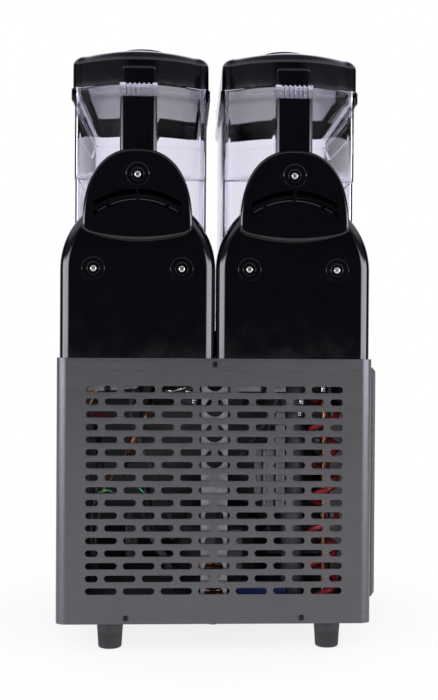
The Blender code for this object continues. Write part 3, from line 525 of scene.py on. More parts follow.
def panel_skin(name, face_y, sign, holes, mat, replaced):
    """A sheet panel with holes, wrapped round both corners: sign is 1 for the rear, -1 for the front."""
    bm = bmesh.new()
    flat_half = HALF - CORNER
    edges = []
    loops = [[(-flat_half, BODY_BOTTOM), (flat_half, BODY_BOTTOM), (flat_half, BODY_TOP),
              (-flat_half, BODY_TOP)]] + holes
    hole_edges = []
    for index, outline in enumerate(loops):
        ring = [bm.verts.new((px, face_y, pz)) for px, pz in outline]
        made = [bm.edges.new((ring[k], ring[(k + 1) % len(ring)])) for k in range(len(ring))]
        edges += made
        if index:
            hole_edges += made
    bmesh.ops.triangle_fill(bm, edges=edges, use_beauty=True, normal=(0, sign, 0))
    faces = list(bm.faces)
    extruded = bmesh.ops.extrude_face_region(bm, geom=faces, use_keep_orig=True)
    moved = [item for item in extruded["geom"] if isinstance(item, bmesh.types.BMVert)]
    bmesh.ops.translate(bm, verts=moved, vec=(0, -sign * SHEET, 0))
    bmesh.ops.bevel(bm, geom=hole_edges, offset=0.00035, segments=2, affect="EDGES", profile=0.5)
    side_faces = [f for f in bm.faces if all(abs(abs(v.co.x) - flat_half) < 1e-6 for v in f.verts)]
    bmesh.ops.delete(bm, geom=side_faces, context="FACES_ONLY")
    for side in (-1, 1):
        rings = []
        for c, s in sweep(12):
            rings.append([(flat_half + r * s, -CORNER + r * c) for r in (CORNER, CORNER - SHEET)])
        rings.append([(HALF, -RETURN), (HALF - SHEET, -RETURN)])
        loft_rings = []
        for (ox, oy), (ix, iy) in rings:
            corners = ((ox, oy, BODY_BOTTOM), (ox, oy, BODY_TOP), (ix, iy, BODY_TOP), (ix, iy, BODY_BOTTOM))
            loft_rings.append([Vector((side * px, face_y + sign * py, pz)) for px, py, pz in corners])
        made = [[bm.verts.new(point) for point in ring] for ring in loft_rings]
        for first, second in zip(made, made[1:]):
            bridge(bm, first, second)
        bm.faces.new(made[-1])
    bmesh.ops.remove_doubles(bm, verts=bm.verts, dist=0.00001)
    skin = even_normals(mesh_object(name, bm, 40))
    return finish_piece(skin, mat, "machine", "housing", replaced)


def make_housing(mats):
    panel_skin("rear_panel_skin", REAR_Y, 1, slot_loops(), mats["housing"], "rear_panel")
    holes = [round_rect(x - 0.011, x + 0.011, SWITCH_Z - 0.016, SWITCH_Z + 0.016, 0.001, 2)
             for x in SWITCH_X]
    panel_skin("front_panel_skin", FRONT_Y, -1, holes, mats["housing"], "front_panel")
    for x, z in ((0.0, 0.3665), (-0.113, 0.0405), (0.113, 0.0405)):
        name = f"panel_screw_{'top' if x == 0 else 'left' if x < 0 else 'right'}"
        make_screw(name, (x, REAR_Y, z), 0.0039, 0.0016, mats["dark_screw"], "cross")


def make_screw(name, spot, radius, height, mat, kind, body="machine", slot="stainless"):
    """A domed screw head facing +Y, with a hexagon socket or a cross recess."""
    steps = 48
    x, y, z = spot
    rings = []
    for share, rise in ((1.0, -0.1), (1.0, 0.25), (0.95, 0.6), (0.82, 0.88), (0.66, 1.0)):
        rings.append(circle("Y", (x, z), radius * share, y + height * rise, steps))
    for rise in (1.0, 0.15):
        ring = []
        for step in range(steps):
            angle = TAU * step / steps
            if kind == "hex":
                reach = 0.42 / math.cos((angle % (TAU / 6)) - TAU / 12)
            else:
                reach = 0.20 + 0.36 * max(0.0, math.cos(4 * angle)) ** 6
            reach *= radius * (1 if rise == 1.0 else 0.92)
            across = reach * math.cos(angle)
            up = reach * math.sin(angle)
            ring.append(Vector((x + across, y + height * rise, z + up)))
        rings.append(ring)
    screw = mesh_object(name, loft(rings), 30)
    return finish_piece(screw, mat, body, slot)


def make_feet(mats):
    """Ribbed rubber feet with a smooth collar."""
    ribs = 28
    steps = ribs * 4
    for name in both("foot_rear", "foot_front"):
        low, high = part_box(name)
        x = (low.x + high.x) / 2
        y = (low.y + high.y) / 2
        levels = [
            (0.0, 0.0132, 0), (0.0006, 0.0144, 0), (0.0022, 0.0151, 0.2), (0.0035, 0.0152, 1),
            (0.0190, 0.0161, 1), (0.0205, 0.0162, 0.3), (0.0215, 0.0163, 0), (0.0232, 0.0165, 0),
            (0.0290, 0.0168, 0), (0.0325, 0.0164, 0), (0.0331, 0.0158, 0),
        ]
        rings = []
        for z, radius, ribbed in levels:
            ring = []
            for step in range(steps):
                angle = TAU * step / steps
                groove = 0.0011 * ribbed if step % 4 in (0, 1) else 0.0
                ring.append(Vector((x + (radius - groove) * math.cos(angle),
                                    y + (radius - groove) * math.sin(angle), z)))
            rings.append(ring)
        for radius, z in ((0.0042, 0.0331), (0.0040, high.z - 0.001), (0.0030, high.z)):
            rings.append(circle("Z", (x, y), radius, z, steps))
        foot = mesh_object(f"{name}_ribbed", loft(rings), 40)
        finish_piece(foot, mats["rubber"], name, "foot_rubber", name)


# ---- Motor covers, hoods and columns -----------------------------------------------------
def recess(x, y, z):
    """A flat screw recess in two steps, with softened edges."""
    profile = [(0, y - 0.0050), (0.0074, y - 0.0050), (0.0078, y - 0.0047), (0.0079, y - 0.0014),
               (0.0082, y - 0.0010), (0.0086, y - 0.0009), (0.0141, y - 0.0009), (0.0144, y - 0.0008),
               (0.0147, y - 0.0003), (0.0151, y + 0.0002), (0.0151, y + 0.004), (0, y + 0.004)]
    return turned(profile, "Y", (x, z), 64)


def boss(x, y, z):
    return turned([(0, y - 0.0075), (0.0158, y - 0.0075), (0.0158, y - 0.001), (0, y - 0.001)],
                  "Y", (x, z), 64)


def make_cover(side, x, mats):
    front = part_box(f"motor_cover_{side}")[0].y
    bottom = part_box(f"motor_cover_{side}")[0].z
    outer = bullet_rings(x, COVER_RADIUS, COVER_EDGE, bottom, front, REAR_Y)
    inner = bullet_rings(x, COVER_RADIUS - COVER_WALL, COVER_EDGE - COVER_WALL, bottom + COVER_WALL,
                         front, REAR_Y - COVER_WALL)
    cover = mesh_object(f"motor_cover_{side}_shell", loft(inner[::-1] + outer))
    spots = [(x - 0.0565, COVER_SCREW_Z), (x + 0.0565, COVER_SCREW_Z)]
    steps = [("UNION", boss(px, REAR_Y, pz)) for px, pz in spots]
    steps += [("DIFFERENCE", recess(px, REAR_Y, pz)) for px, pz in spots]
    steps.append(("DIFFERENCE", box((x - 0.040, REAR_Y - 0.01, 0.545), (x + 0.040, REAR_Y + 0.01, 0.570))))
    steps.append(("DIFFERENCE", box((x - 0.025, 0.182, bottom - 0.01), (x + 0.025, 0.208, bottom + 0.01))))
    carve(cover, steps, 30)
    even_normals(cover)
    finish_piece(cover, mats["black"], "machine", "gloss_black", f"motor_cover_{side}")
    for index, (px, pz) in enumerate(spots):
        spot = (px, REAR_Y - SCREW_SINK, pz)
        make_screw(f"cover_screw_{side}_{index + 1}", spot, *HEX_HEAD, mats["screw"], "hex")


def vent_outline(x, half_sign, top_z, bottom_z, drop, end, steps=16):
    rib = 0.0015
    upper = []
    lower = []
    for step in range(steps + 1):
        across = rib + (end - rib) * step / steps
        fall = drop * (across / end) ** 2
        upper.append((x + half_sign * across, top_z - fall))
        lower.append((x + half_sign * across, bottom_z - fall))
    return upper + lower[::-1]


def make_hood(side, x, mats):
    edge = 0.0038
    rings = [ring_at("Y", hood_outline(x), HOOD_FRONT)]
    for c, s in sweep(6):
        rings.append(ring_at("Y", hood_outline(x, edge * (1 - c)), HOOD_REAR - edge + edge * s))
    hood = mesh_object(f"vent_hood_{side}_shell", loft(rings))
    hollow = prism(hood_outline(x, 0.0028), "Y", HOOD_FRONT + 0.0025, HOOD_REAR - 0.0028)
    under = bullet_rings(x, COVER_RADIUS + 0.0002, COVER_EDGE, 0.36, HOOD_FRONT - 0.01, REAR_Y + 0.0002)
    steps = [("DIFFERENCE", hollow), ("UNION", boss(x, HOOD_REAR, HOOD_SCREW_Z)),
             ("DIFFERENCE", loft(under)), ("DIFFERENCE", recess(x, HOOD_REAR, HOOD_SCREW_Z))]
    for half_sign in (-1, 1):
        for top_z, bottom_z, drop in ((0.5893, 0.5826, 0.0165), (0.5796, 0.5723, 0.0198)):
            outline = vent_outline(x, half_sign, top_z, bottom_z, drop, 0.056)
            steps.append(("DIFFERENCE", prism(outline, "Y", HOOD_REAR - 0.006, HOOD_REAR + 0.006)))
    carve(hood, steps, 30)
    soften(hood, 0.0004, 2, 50)
    apply_modifiers(hood, 30)
    even_normals(hood)
    finish_piece(hood, mats["black"], "machine", "gloss_black", f"vent_hood_{side}")
    spot = (x, HOOD_REAR - SCREW_SINK, HOOD_SCREW_Z)
    make_screw(f"hood_screw_{side}", spot, *HEX_HEAD, mats["screw"], "hex")


def make_column(side, x, mats):
    """The post above the hood, with rounded edges and a grooved cap."""
    low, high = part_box(f"bowl_column_{side}")
    half = (high.x - low.x) / 2
    rings = []
    for z, inset in ((low.z - 0.006, 0.0), (high.z - 0.0062, 0.0), (high.z - 0.0058, 0.0006),
                     (high.z - 0.0050, 0.0006), (high.z - 0.0046, 0.0), (high.z - 0.0012, 0.0),
                     (high.z - 0.0004, 0.0004), (high.z, 0.0012)):
        plan = round_rect(x - half + inset, x + half - inset, low.y + inset, high.y - inset,
                          0.0048 - inset, 8)
        rings.append(ring_at("Z", plan, z))
    column = mesh_object(f"bowl_column_{side}_post", loft(rings), 25)
    carve(column, [("DIFFERENCE", prism(hood_outline(x, -0.0002), "Y", low.y - 0.01, HOOD_REAR + 0.01))], 25)
    finish_piece(column, mats["black"], "machine", "gloss_black", f"bowl_column_{side}")


# ---- Bowls and lids ----------------------------------------------------------------------
BOWL_HALF = 0.0885
BOWL_WALL = 0.003
BOWL_FRONT = -0.180
BOWL_REAR = 0.1667
BOWL_BOW = 0.212
LEDGE_Z = 0.616
RIM_Z = 0.733
RIM_PROUD = 0.0045


def bowl_level(x, inset, z, bowed, grow=0.0):
    """One level of the bowl's skin, set in from its outer face by inset; bowed goes from 0 to 1."""
    radius = BOWL_HALF - inset
    drop = max(0.0, AXIS_Z - z)
    half = math.sqrt(max(radius**2 - drop**2, 1e-6)) + grow
    rear = BOWL_REAR - inset
    centre = rear + (BOWL_BOW - BOWL_REAR) * bowed + grow
    plan = bowl_plan(x, half, rear + grow * bowed, centre, BOWL_FRONT + inset - grow, 0.026 - inset + grow,
                     0.0105 - inset + grow)
    return ring_at("Z", plan, z)


def bowl_skin(x, inset, floor_step):
    """Levels of one skin of the bowl, from its lowest line up to under the rim."""
    radius = BOWL_HALF - inset
    levels = [bowl_level(x, inset, AXIS_Z - radius * math.cos(math.radians(angle)), 0)
              for angle in (6, 14, 22, 30, 38, 46, 54, 62, 70, 80, 90)]
    base = LEDGE_Z + floor_step
    levels.append(bowl_level(x, inset, base - 0.004, 0))
    levels += [bowl_level(x, inset, base - 0.004 + 0.006 * (1 - c), s) for c, s in sweep(6, first=1)]
    return levels


def make_bowl(side, x, mats):
    body = f"bowl_{side}"
    inner = bowl_skin(x, BOWL_WALL, BOWL_WALL)
    outer = bowl_skin(x, 0.0, 0.0)
    rim = [
        bowl_level(x, 0, RIM_Z - 0.0220, 1), bowl_level(x, 0, RIM_Z - 0.0175, 1, 0.0016),
        bowl_level(x, 0, RIM_Z - 0.0155, 1, 0.0038), bowl_level(x, 0, RIM_Z - 0.0140, 1, RIM_PROUD),
        bowl_level(x, 0, RIM_Z - 0.0010, 1, RIM_PROUD), bowl_level(x, 0, RIM_Z, 1, 0.0038),
    ]
    mouth = [bowl_level(x, BOWL_WALL, RIM_Z, 1, -0.0004), bowl_level(x, BOWL_WALL, RIM_Z - 0.0008, 1)]
    bowl = mesh_object(f"{body}_shell", loft(inner + mouth[::-1] + rim[::-1] + outer[::-1]), 40)
    hole = turned([(0, BOWL_REAR - 0.012), (0.080, BOWL_REAR - 0.012), (0.080, BOWL_REAR + 0.01),
                   (0, BOWL_REAR + 0.01)], "Y", (x, AXIS_Z), 96)
    inlet = turned([(0, BOWL_FRONT - 0.01), (0.008, BOWL_FRONT - 0.01), (0.008, BOWL_FRONT + 0.01),
                    (0, BOWL_FRONT + 0.01)], "Y", (x, 0.414), 32)
    carve(bowl, [("DIFFERENCE", hole), ("DIFFERENCE", inlet)], 40)
    finish_piece(bowl, mats["clear"], body, "clear_plastic", body)
    make_lug(side, x, mats)


def make_lug(side, x, mats):
    """The ribbed lug that rests on the column."""
    half = 0.024
    front = BOWL_BOW + RIM_PROUD - 0.0008
    rear = 0.250
    low = 0.710
    teeth = 6
    outline = [(x - half, front), (x - half, rear)]
    pitch = (2 * half - 0.012) / teeth
    for index in range(teeth):
        start = x - half + 0.006 + pitch * index
        outline += [(start, rear), (start + 0.0008, rear - 0.010), (start + pitch * 0.55, rear - 0.010),
                    (start + pitch * 0.55 + 0.0008, rear - 0.0012)]
    outline += [(x + half - 0.006, rear), (x + half, rear), (x + half, front)]
    lug = mesh_object(f"bowl_lug_{side}", prism(outline, "Z", low, LUG_TOP), 30)
    soften(lug, 0.0006, 2, 40)
    apply_modifiers(lug, 30)
    finish_piece(lug, mats["clear"], f"bowl_{side}", "clear_plastic")


LID_HALF = 0.0910
LID_REAR = 0.168
LID_BOW = 0.2135
LID_FRONT = -0.1825
LID_WALL = 0.0025
SHOULDER_Z = 0.7630
SHOULDER = 0.0150
CROWN_Z = 0.7890
CROWN_REACH = 0.078


def lid_level(x, inset, z):
    plan = bowl_plan(x, LID_HALF - inset, LID_REAR - inset, LID_BOW - inset, LID_FRONT + inset,
                     max(0.030 - inset * 0.6, 0.006), max(0.012 - inset * 0.25, 0.004))
    return ring_at("Z", plan, z)


def make_lid(side, x, mats):
    body = f"lid_{side}"
    bottom = RIM_Z + 0.0003
    dome = [(0.0, bottom + 0.0010), (0.0, SHOULDER_Z)]
    dome += [(SHOULDER * (1 - c), SHOULDER_Z + SHOULDER * s) for c, s in sweep(10, 72, first=1)]
    start = dome[-1]
    for step in range(1, 13):
        share = step / 12
        rise = (CROWN_Z - start[1]) * math.sin(math.pi / 2 * share)
        dome.append((start[0] + (CROWN_REACH - start[0]) * share, start[1] + rise))
    outer = [lid_level(x, 0.0006, bottom)] + [lid_level(x, inset, z) for inset, z in dome]
    inner = [lid_level(x, inset + LID_WALL, z - LID_WALL) for inset, z in dome[1:]]
    lip = [
        lid_level(x, LID_WALL, bottom + 0.004), lid_level(x, 0.0083, bottom + 0.003),
        lid_level(x, 0.0083, bottom - 0.0006), lid_level(x, 0.0078, bottom - 0.001),
        lid_level(x, 0.0064, bottom - 0.001), lid_level(x, 0.0058, bottom - 0.0006),
        lid_level(x, 0.0058, bottom),
    ]
    lid = mesh_object(f"{body}_dome", loft(inner[::-1] + lip + outer), 30)
    finish_piece(lid, mats["black"], body, "gloss_black", body)
    make_lining(side, x, mats)
    make_tail(side, x, mats)
    make_knob(side, x, mats)


def make_lining(side, x, mats):
    """The lid's flat inner skin, which shows from below through the clear bowl."""
    rings = [lid_level(x, inset, z) for inset, z in ((0.0030, 0.7526), (0.0030, 0.7508), (0.0036, 0.7502))]
    lining = mesh_object(f"lid_lining_{side}", loft(rings), 30)
    finish_piece(lining, mats["lining"], f"lid_{side}", "gloss_black")


def make_tail(side, x, mats):
    """The tail of the lid, over the bowl's lug."""
    half = 0.0225
    top = 0.7526
    behind_rim = BOWL_BOW + RIM_PROUD + 0.0010
    radius = 0.0065
    rings = []
    for y, inset in ((0.2060, 0.0), (behind_rim, 0.0), (0.2325, 0.0), (0.2345, 0.0006), (0.2356, 0.0018),
                     (0.2360, 0.0032)):
        low = RIM_Z + 0.0006 if y < behind_rim else LUG_TOP + 0.0003
        outline = [(half - inset, low + inset * 0.3), (half - inset, top - radius)]
        outline += [(half - radius + (radius - inset) * c, top - radius + (radius - inset) * s)
                    for c, s in sweep(6, first=1)]
        outline += [(-u, v) for u, v in reversed(outline)]
        if y == behind_rim:
            step_up = [(u, max(v, RIM_Z + 0.0006)) for u, v in outline]
            rings.append([Vector((x + u, y - 0.0002, v)) for u, v in step_up])
        rings.append([Vector((x + u, y, v)) for u, v in outline])
    tail = mesh_object(f"lid_tail_{side}", loft(rings), 30)
    finish_piece(tail, mats["black"], f"lid_{side}", "gloss_black")


def make_knob(side, x, mats):
    knob_y = 0.070
    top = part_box(f"lid_{side}")[1].z
    profile = [(0, 0.7850), (0.0290, 0.7850), (0.0295, top - 0.0100), (0.0308, top - 0.0088)]
    profile += [(0.0290 + 0.0040 * c, top - 0.0042 + 0.0042 * s) for c, s in sweep(6, 150, -60)]
    profile += [(0.0245, top), (0.0205, top - 0.0010), (0.0190, top - 0.0038), (0.0175, top - 0.0048),
                (0.0060, top - 0.0050), (0, top - 0.0050)]
    knob = mesh_object(f"lid_knob_{side}", turned(profile, "Z", (x, knob_y), 96), 30)
    finish_piece(knob, mats["black"], f"lid_{side}", "gloss_black")


# ---- Freezing cylinder and auger ---------------------------------------------------------
def make_cylinder(side, x, mats):
    low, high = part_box(f"evaporator_{side}")
    radius = 0.0525
    profile = [(0.0105, low.y)]
    profile += [(radius - 0.006 + 0.006 * s, low.y + 0.006 - 0.006 * c) for c, s in sweep(5)]
    profile += [(radius, high.y - 0.0035), (0.0750, high.y - 0.0035), (0.0755, high.y - 0.003),
                (0.0755, high.y), (radius - 0.003, high.y), (radius - 0.003, low.y + 0.007),
                (0.0125, low.y + 0.003), (0.0125, high.y), (0.0105, high.y)]
    cylinder = mesh_object(f"evaporator_{side}_drum", turned(profile, "Y", (x, AXIS_Z), 96), 30)
    finish_piece(cylinder, mats["steel"], "machine", "stainless", f"evaporator_{side}")


def make_auger(side, x, mats):
    """A tapered flight wound three turns along the cylinder, on a four-armed spider."""
    low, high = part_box(f"auger_{side}")
    turns = 3
    steps = 64 * turns
    start = high.y - 0.0035
    end = low.y + 0.021
    rings = []
    for step in range(steps + 1):
        angle = TAU * turns * step / steps
        y = start + (end - start) * step / steps
        ring = []
        for radius, along in ((0.0538, -0.0026), (0.0640, -0.0018), (0.0752, -0.0011), (0.0760, 0.0),
                              (0.0752, 0.0011), (0.0640, 0.0018), (0.0538, 0.0026)):
            ring.append(Vector((x + radius * math.cos(angle), y + along, AXIS_Z + radius * math.sin(angle))))
        rings.append(ring)
    flight = mesh_object(f"auger_flight_{side}", loft(rings), 40)
    back = -0.123
    spider = [(0.0083, back), (0.0745, back), (0.0760, back - 0.0012), (0.0760, back - 0.0040),
              (0.0745, back - 0.005), (0.024, back - 0.0065), (0.0185, back - 0.009), (0.0180, back - 0.021),
              (0.0172, back - 0.022), (0.0083, back - 0.022)]
    windows = []
    for index in range(4):
        outline = []
        for radius, span in ((0.062, 31), (0.030, 24)):
            for step in range(9):
                swing = span * (1 - step / 4) * (1 if radius > 0.05 else -1)
                angle = math.radians(45 + 90 * index + swing)
                outline.append((x + radius * math.cos(angle), AXIS_Z + radius * math.sin(angle)))
        windows.append(("DIFFERENCE", prism(outline, "Y", back - 0.012, back + 0.006)))
    hub = mesh_object(f"auger_spider_{side}", turned(spider, "Y", (x, AXIS_Z), 96), 30)
    carve(hub, windows, 30)
    soften(hub, 0.0006, 2, 45)
    apply_modifiers(hub, 30)
    finish_piece(flight, mats["white"], f"auger_{side}", "white_plastic", f"auger_{side}")
    finish_piece(hub, mats["white"], f"auger_{side}", "white_plastic")


# ---- Inside the housing ------------------------------------------------------------------
def spiral(x, y, low, high, radius, turns, lean=1.0):
    """Points up a coil about a vertical line."""
    steps = 16 * turns
    return [(x + radius * math.cos(TAU * step / 16), y + lean * radius * math.sin(TAU * step / 16),
             low + (high - low) * step / steps) for step in range(int(steps) + 1)]


def make_pipework(mats):
    """The tall copper riser with a red hose wound round it, and the cooling coil's fittings."""
    route = ((-0.147, 0.16, 0.052), (-0.145, 0.215, 0.060), (-0.145, 0.220, 0.090), (-0.145, 0.221, 0.200),
             (-0.145, 0.220, 0.310), (-0.140, 0.200, 0.335), (-0.110, 0.170, 0.345))
    riser = tube_curve("copper_riser", route, 0.0040, 8)
    finish_piece(riser, mats["copper"], "machine", "copper", "discharge_line")
    hose = tube_curve("hose_coil", spiral(-0.145, 0.221, 0.058, 0.325, 0.0175, 6, 0.9), 0.0042, 1)
    finish_piece(hose, mats["hose"], "machine", "copper")
    tower = [(0, 0.045), (0.0130, 0.045), (0.0140, 0.047), (0.0140, 0.352), (0.0130, 0.354), (0, 0.354)]
    receiver = mesh_object("liquid_receiver", turned(tower, "Z", (-0.104, 0.205), 40), 30)
    finish_piece(receiver, mats["foam"], "machine", "satin_black")
    tubes = (
        ("silver_line_upper", 0.0026, ((0.066, 0.20, 0.334), (0.060, 0.222, 0.331), (0.048, 0.224, 0.333),
                                       (0.038, 0.224, 0.336), (0.030, 0.20, 0.340))),
        ("silver_line_lower", 0.0022, ((0.034, 0.20, 0.326), (0.024, 0.222, 0.314), (0.018, 0.224, 0.302),
                                       (0.008, 0.20, 0.290))),
        ("silver_line_right", 0.0022, ((-0.112, 0.18, 0.300), (-0.122, 0.222, 0.305), (-0.132, 0.224, 0.311),
                                       (-0.140, 0.20, 0.320))),
        ("brown_line", 0.0036, ((0.080, 0.16, 0.335), (0.088, 0.205, 0.305), (0.100, 0.212, 0.278),
                                (0.113, 0.205, 0.248), (0.122, 0.16, 0.215))),
    )
    for name, radius, points in tubes:
        key = "copper" if name == "brown_line" else "screw"
        finish_piece(tube_curve(name, points, radius, 8), mats[key], "machine",
                     "copper" if key == "copper" else "stainless")
    spots = (
        ("fitting_1", (0.034, 0.224, 0.326), 0.0062), ("fitting_2", (0.026, 0.226, 0.320), 0.0052),
        ("fitting_3", (-0.1436, 0.226, 0.336), 0.0050), ("fitting_4", (-0.115, 0.222, 0.3195), 0.0042),
        ("fitting_5", (-0.1125, 0.222, 0.3040), 0.0040),
    )
    for name, (x, y, z), radius in spots:
        rings = []
        for step in range(13):
            wide = radius * (1.0 if step % 3 else 0.78)
            rings.append(circle("Z", (x, y - 0.008), wide, z - 0.006 + step * 0.001, 24))
        finish_piece(mesh_object(name, loft(rings), 30), mats["screw"], "machine", "stainless")


def make_wires(mats):
    wires = (
        ("wire_red", "red", ((0.150, 0.20, 0.345), (0.157, 0.240, 0.332), (0.1605, 0.240, 0.322),
                             (0.160, 0.20, 0.300), (0.145, 0.10, 0.29))),
        ("wire_blue", "blue", ((0.156, 0.20, 0.340), (0.1605, 0.236, 0.325), (0.1625, 0.236, 0.314),
                               (0.158, 0.19, 0.290), (0.150, 0.10, 0.28))),
        ("wire_yellow", "yellow", ((0.147, 0.20, 0.345), (0.152, 0.238, 0.334), (0.1585, 0.242, 0.318),
                                   (0.163, 0.22, 0.308), (0.155, 0.10, 0.27))),
        ("wire_green_outer", "green", ((0.160, 0.16, 0.190), (0.146, 0.232, 0.200), (0.137, 0.232, 0.202),
                                       (0.126, 0.20, 0.190))),
        ("wire_green_inner", "green", ((0.104, 0.17, 0.220), (0.098, 0.232, 0.208), (0.090, 0.232, 0.198),
                                       (0.078, 0.17, 0.180))),
        ("wire_orange", "orange", ((0.160, 0.16, 0.175), (0.146, 0.230, 0.199), (0.138, 0.230, 0.210),
                                   (0.126, 0.17, 0.230))),
        ("wire_tan", "copper", ((0.118, 0.16, 0.200), (0.110, 0.228, 0.209), (0.097, 0.230, 0.211),
                                (0.085, 0.17, 0.195))),
    )
    for name, color, points in wires:
        finish_piece(tube_curve(name, points, WIRE_RADIUS, 8), mats[color], "machine", "grey_plastic")
    cables = (((0.10, 0.16, 0.22), (0.085, 0.222, 0.15), (0.062, 0.226, 0.105), (0.050, 0.20, 0.066)),
              ((0.09, 0.16, 0.20), (0.074, 0.222, 0.14), (0.056, 0.226, 0.100), (0.042, 0.20, 0.066)),
              ((0.16, 0.16, 0.28), (0.152, 0.222, 0.22), (0.160, 0.226, 0.150), (0.150, 0.20, 0.075)),
              ((0.155, 0.16, 0.27), (0.145, 0.222, 0.21), (0.154, 0.226, 0.140), (0.162, 0.20, 0.075)))
    for index, points in enumerate(cables):
        cable = tube_curve(f"black_cable_{index + 1}", points, CABLE_RADIUS, 10)
        finish_piece(cable, mats["satin"], "machine", "satin_black")


def make_brackets(mats):
    for name, x, screw_x, fall in (("top_bracket_right", 0.130, 0.1385, 0.010),
                                   ("top_bracket_left", -0.062, -0.0633, -0.014)):
        right_low, left_low = (0.331 - fall * 0.2, 0.335) if fall > 0 else (0.331, 0.331)
        outline = [(x - 0.030, 0.352), (x + 0.036, 0.352), (x + 0.036, right_low), (x - 0.030, left_low)]
        obj = soften(mesh_object(name, prism(outline, "Y", 0.238, 0.240)), 0.0006, 3)
        finish_piece(obj, mats["zinc"], "machine", "zinc_sheet")
        make_screw(f"{name}_screw", (screw_x, 0.240, 0.3345), 0.0042, 0.0022, mats["dark_screw"], "hex")


def make_blocks(mats):
    """Solenoid valve coils, a blue capacitor case and the compressor's windings."""
    blocks = (
        ("valve_coil_outer", "grey", (-0.0923, 0.208, 0.172), (-0.0805, 0.232, 0.305)),
        ("valve_coil_inner", "grey", (-0.0790, 0.205, 0.178), (-0.0640, 0.226, 0.262)),
        ("relay_case", "grey", (-0.0625, 0.205, 0.186), (-0.0530, 0.222, 0.262)),
        ("capacitor_case", "blue", (-0.0940, 0.205, 0.058), (-0.0290, 0.228, 0.0800)),
    )
    for name, key, low, high in blocks:
        obj = soften(mesh_object(name, box(low, high)), 0.0022, 4)
        step = (high[0] - low[0]) / 3
        if key == "grey":
            grooves = bmesh.new()
            for index in (1, 2):
                x = low[0] + step * index
                box((x - 0.0005, high[1] - 0.0012, low[2] - 0.01),
                    (x + 0.0005, high[1] + 0.01, high[2] + 0.01), grooves)
            apply_modifiers(obj)
            carve(obj, [("DIFFERENCE", grooves)])
        finish_piece(obj, mats[key], "machine", "grey_plastic")
    coil = spiral(0.0, 0.196, 0.060, 0.098, 0.016, 7)
    finish_piece(tube_curve("motor_winding", coil, 0.0024, 1), mats["copper"], "machine", "copper")


def make_switch_cases(mats):
    """The closed backs of the three rockers, inside the front panel."""
    for index, name in enumerate(("mode_switch_left", "power_switch", "mode_switch_right")):
        low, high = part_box(name)
        middle = (low.x + high.x) / 2
        height = (low.z + high.z) / 2
        case = mesh_object(f"switch_case_{index + 1}", box((middle - 0.017, FRONT_Y + 0.006, height - 0.022),
                                                         (middle + 0.017, FRONT_Y + 0.026, height + 0.022)))
        finish_piece(soften(case, 0.0015, 3), mats["satin"], "machine", "satin_black")


def make_inside(mats):
    make_pipework(mats)
    make_wires(mats)
    make_brackets(mats)
    make_blocks(mats)
    make_switch_cases(mats)


# ---- CAD nodes that stay -----------------------------------------------------------------
def dress(mats):
    kept = {
        "housing": both("side_panel") + ("top_deck",),
        "zinc": ("base_pan", "centre_post", "bulkhead", "fan_shroud", "fan_bracket", "tray_bracket"),
        "black": both("tap_handle", "mode_switch") + ("power_switch",),
        "satin": ("fan_motor", "fan_blades", "control_panel", "drip_tray"),
        "panel": ("filter_panel",),
        "shell": ("compressor",),
        "clear": both("tap_body"),
        "steel": both("drive_shaft", "tap_pin") + ("drip_grate",),
        "white": both("tap_piston"),
        "seal": both("bowl_seal"),
        "cast": both("gearmotor"),
        "foam": both("refrigerant_line"),
        "case": ("electrical_box", "filter_drier"),
        "fins": ("condenser",),
        "grey": ("cable_gland",),
    }
    widths = {
        "tap_handle_left": 0.0012, "tap_handle_right": 0.0012, "drip_tray": 0.0010, "control_panel": 0.0012,
        "filter_panel": 0.0008, "electrical_box": 0.003, "condenser": 0.001, "drip_grate": 0.0005,
    }
    for mat, names in kept.items():
        for name in names:
            node = nodes[name]
            node.data.materials.clear()
            node.data.materials.append(mats[mat])
            node.data.shade_smooth()
            node.data.set_sharp_from_angle(angle=math.radians(32))
            if name in widths:
                soften(node, widths[name], 2, 40)


# ---- Studio ------------------------------------------------------------------------------
def make_floor():
    """A pale floor that brightens to plain white away from the object."""
    bm = bmesh.new()
    rings = [circle("Z", (0, 0), radius, -0.0004, 64) for radius in (0.4, 1.2, 4.0, 14.0)]
    made = [[bm.verts.new(point) for point in ring] for ring in rings]
    bm.faces.new(made[0])
    for first, second in zip(made, made[1:]):
        bridge(bm, first, second)
    floor = mesh_object("floor", bm)
    mat = bpy.data.materials.new("floor_paper")
    mat.use_nodes = True
    tree = mat.node_tree
    shader = tree.nodes["Principled BSDF"]
    shader.inputs["Base Color"].default_value = (0.93, 0.93, 0.93, 1)
    shader.inputs["Roughness"].default_value = 0.9
    white = add_node(tree, "ShaderNodeEmission", Strength=1.0)
    where = tree.nodes.new("ShaderNodeTexCoord")
    length = add_node(tree, "ShaderNodeVectorMath", operation="LENGTH")
    mix = tree.nodes.new("ShaderNodeMixShader")
    out = tree.nodes["Material Output"]
    tree.links.new(where.outputs["Object"], length.inputs[0])
    tree.links.new(ramp(tree, length.outputs["Value"], 0.10, 0.60, 0.80), mix.inputs["Fac"])
    tree.links.new(shader.outputs["BSDF"], mix.inputs[1])
    tree.links.new(white.outputs["Emission"], mix.inputs[2])
    tree.links.new(mix.outputs["Shader"], out.inputs["Surface"])
    floor.data.materials.append(mat)


def ramp(tree, value, low, high, start=0.0, end=1.0):
    """A smooth step of a value, from start to end."""
    return map_range(tree, value, low, high, start, end, "SMOOTHSTEP")


def combine(tree, operation, first, second):
    node = add_node(tree, "ShaderNodeMath", operation=operation)
    for value, socket in ((first, node.inputs[0]), (second, node.inputs[1])):
        if isinstance(value, float):
            socket.default_value = value
        else:
            tree.links.new(value, socket)
    return node.outputs[0]


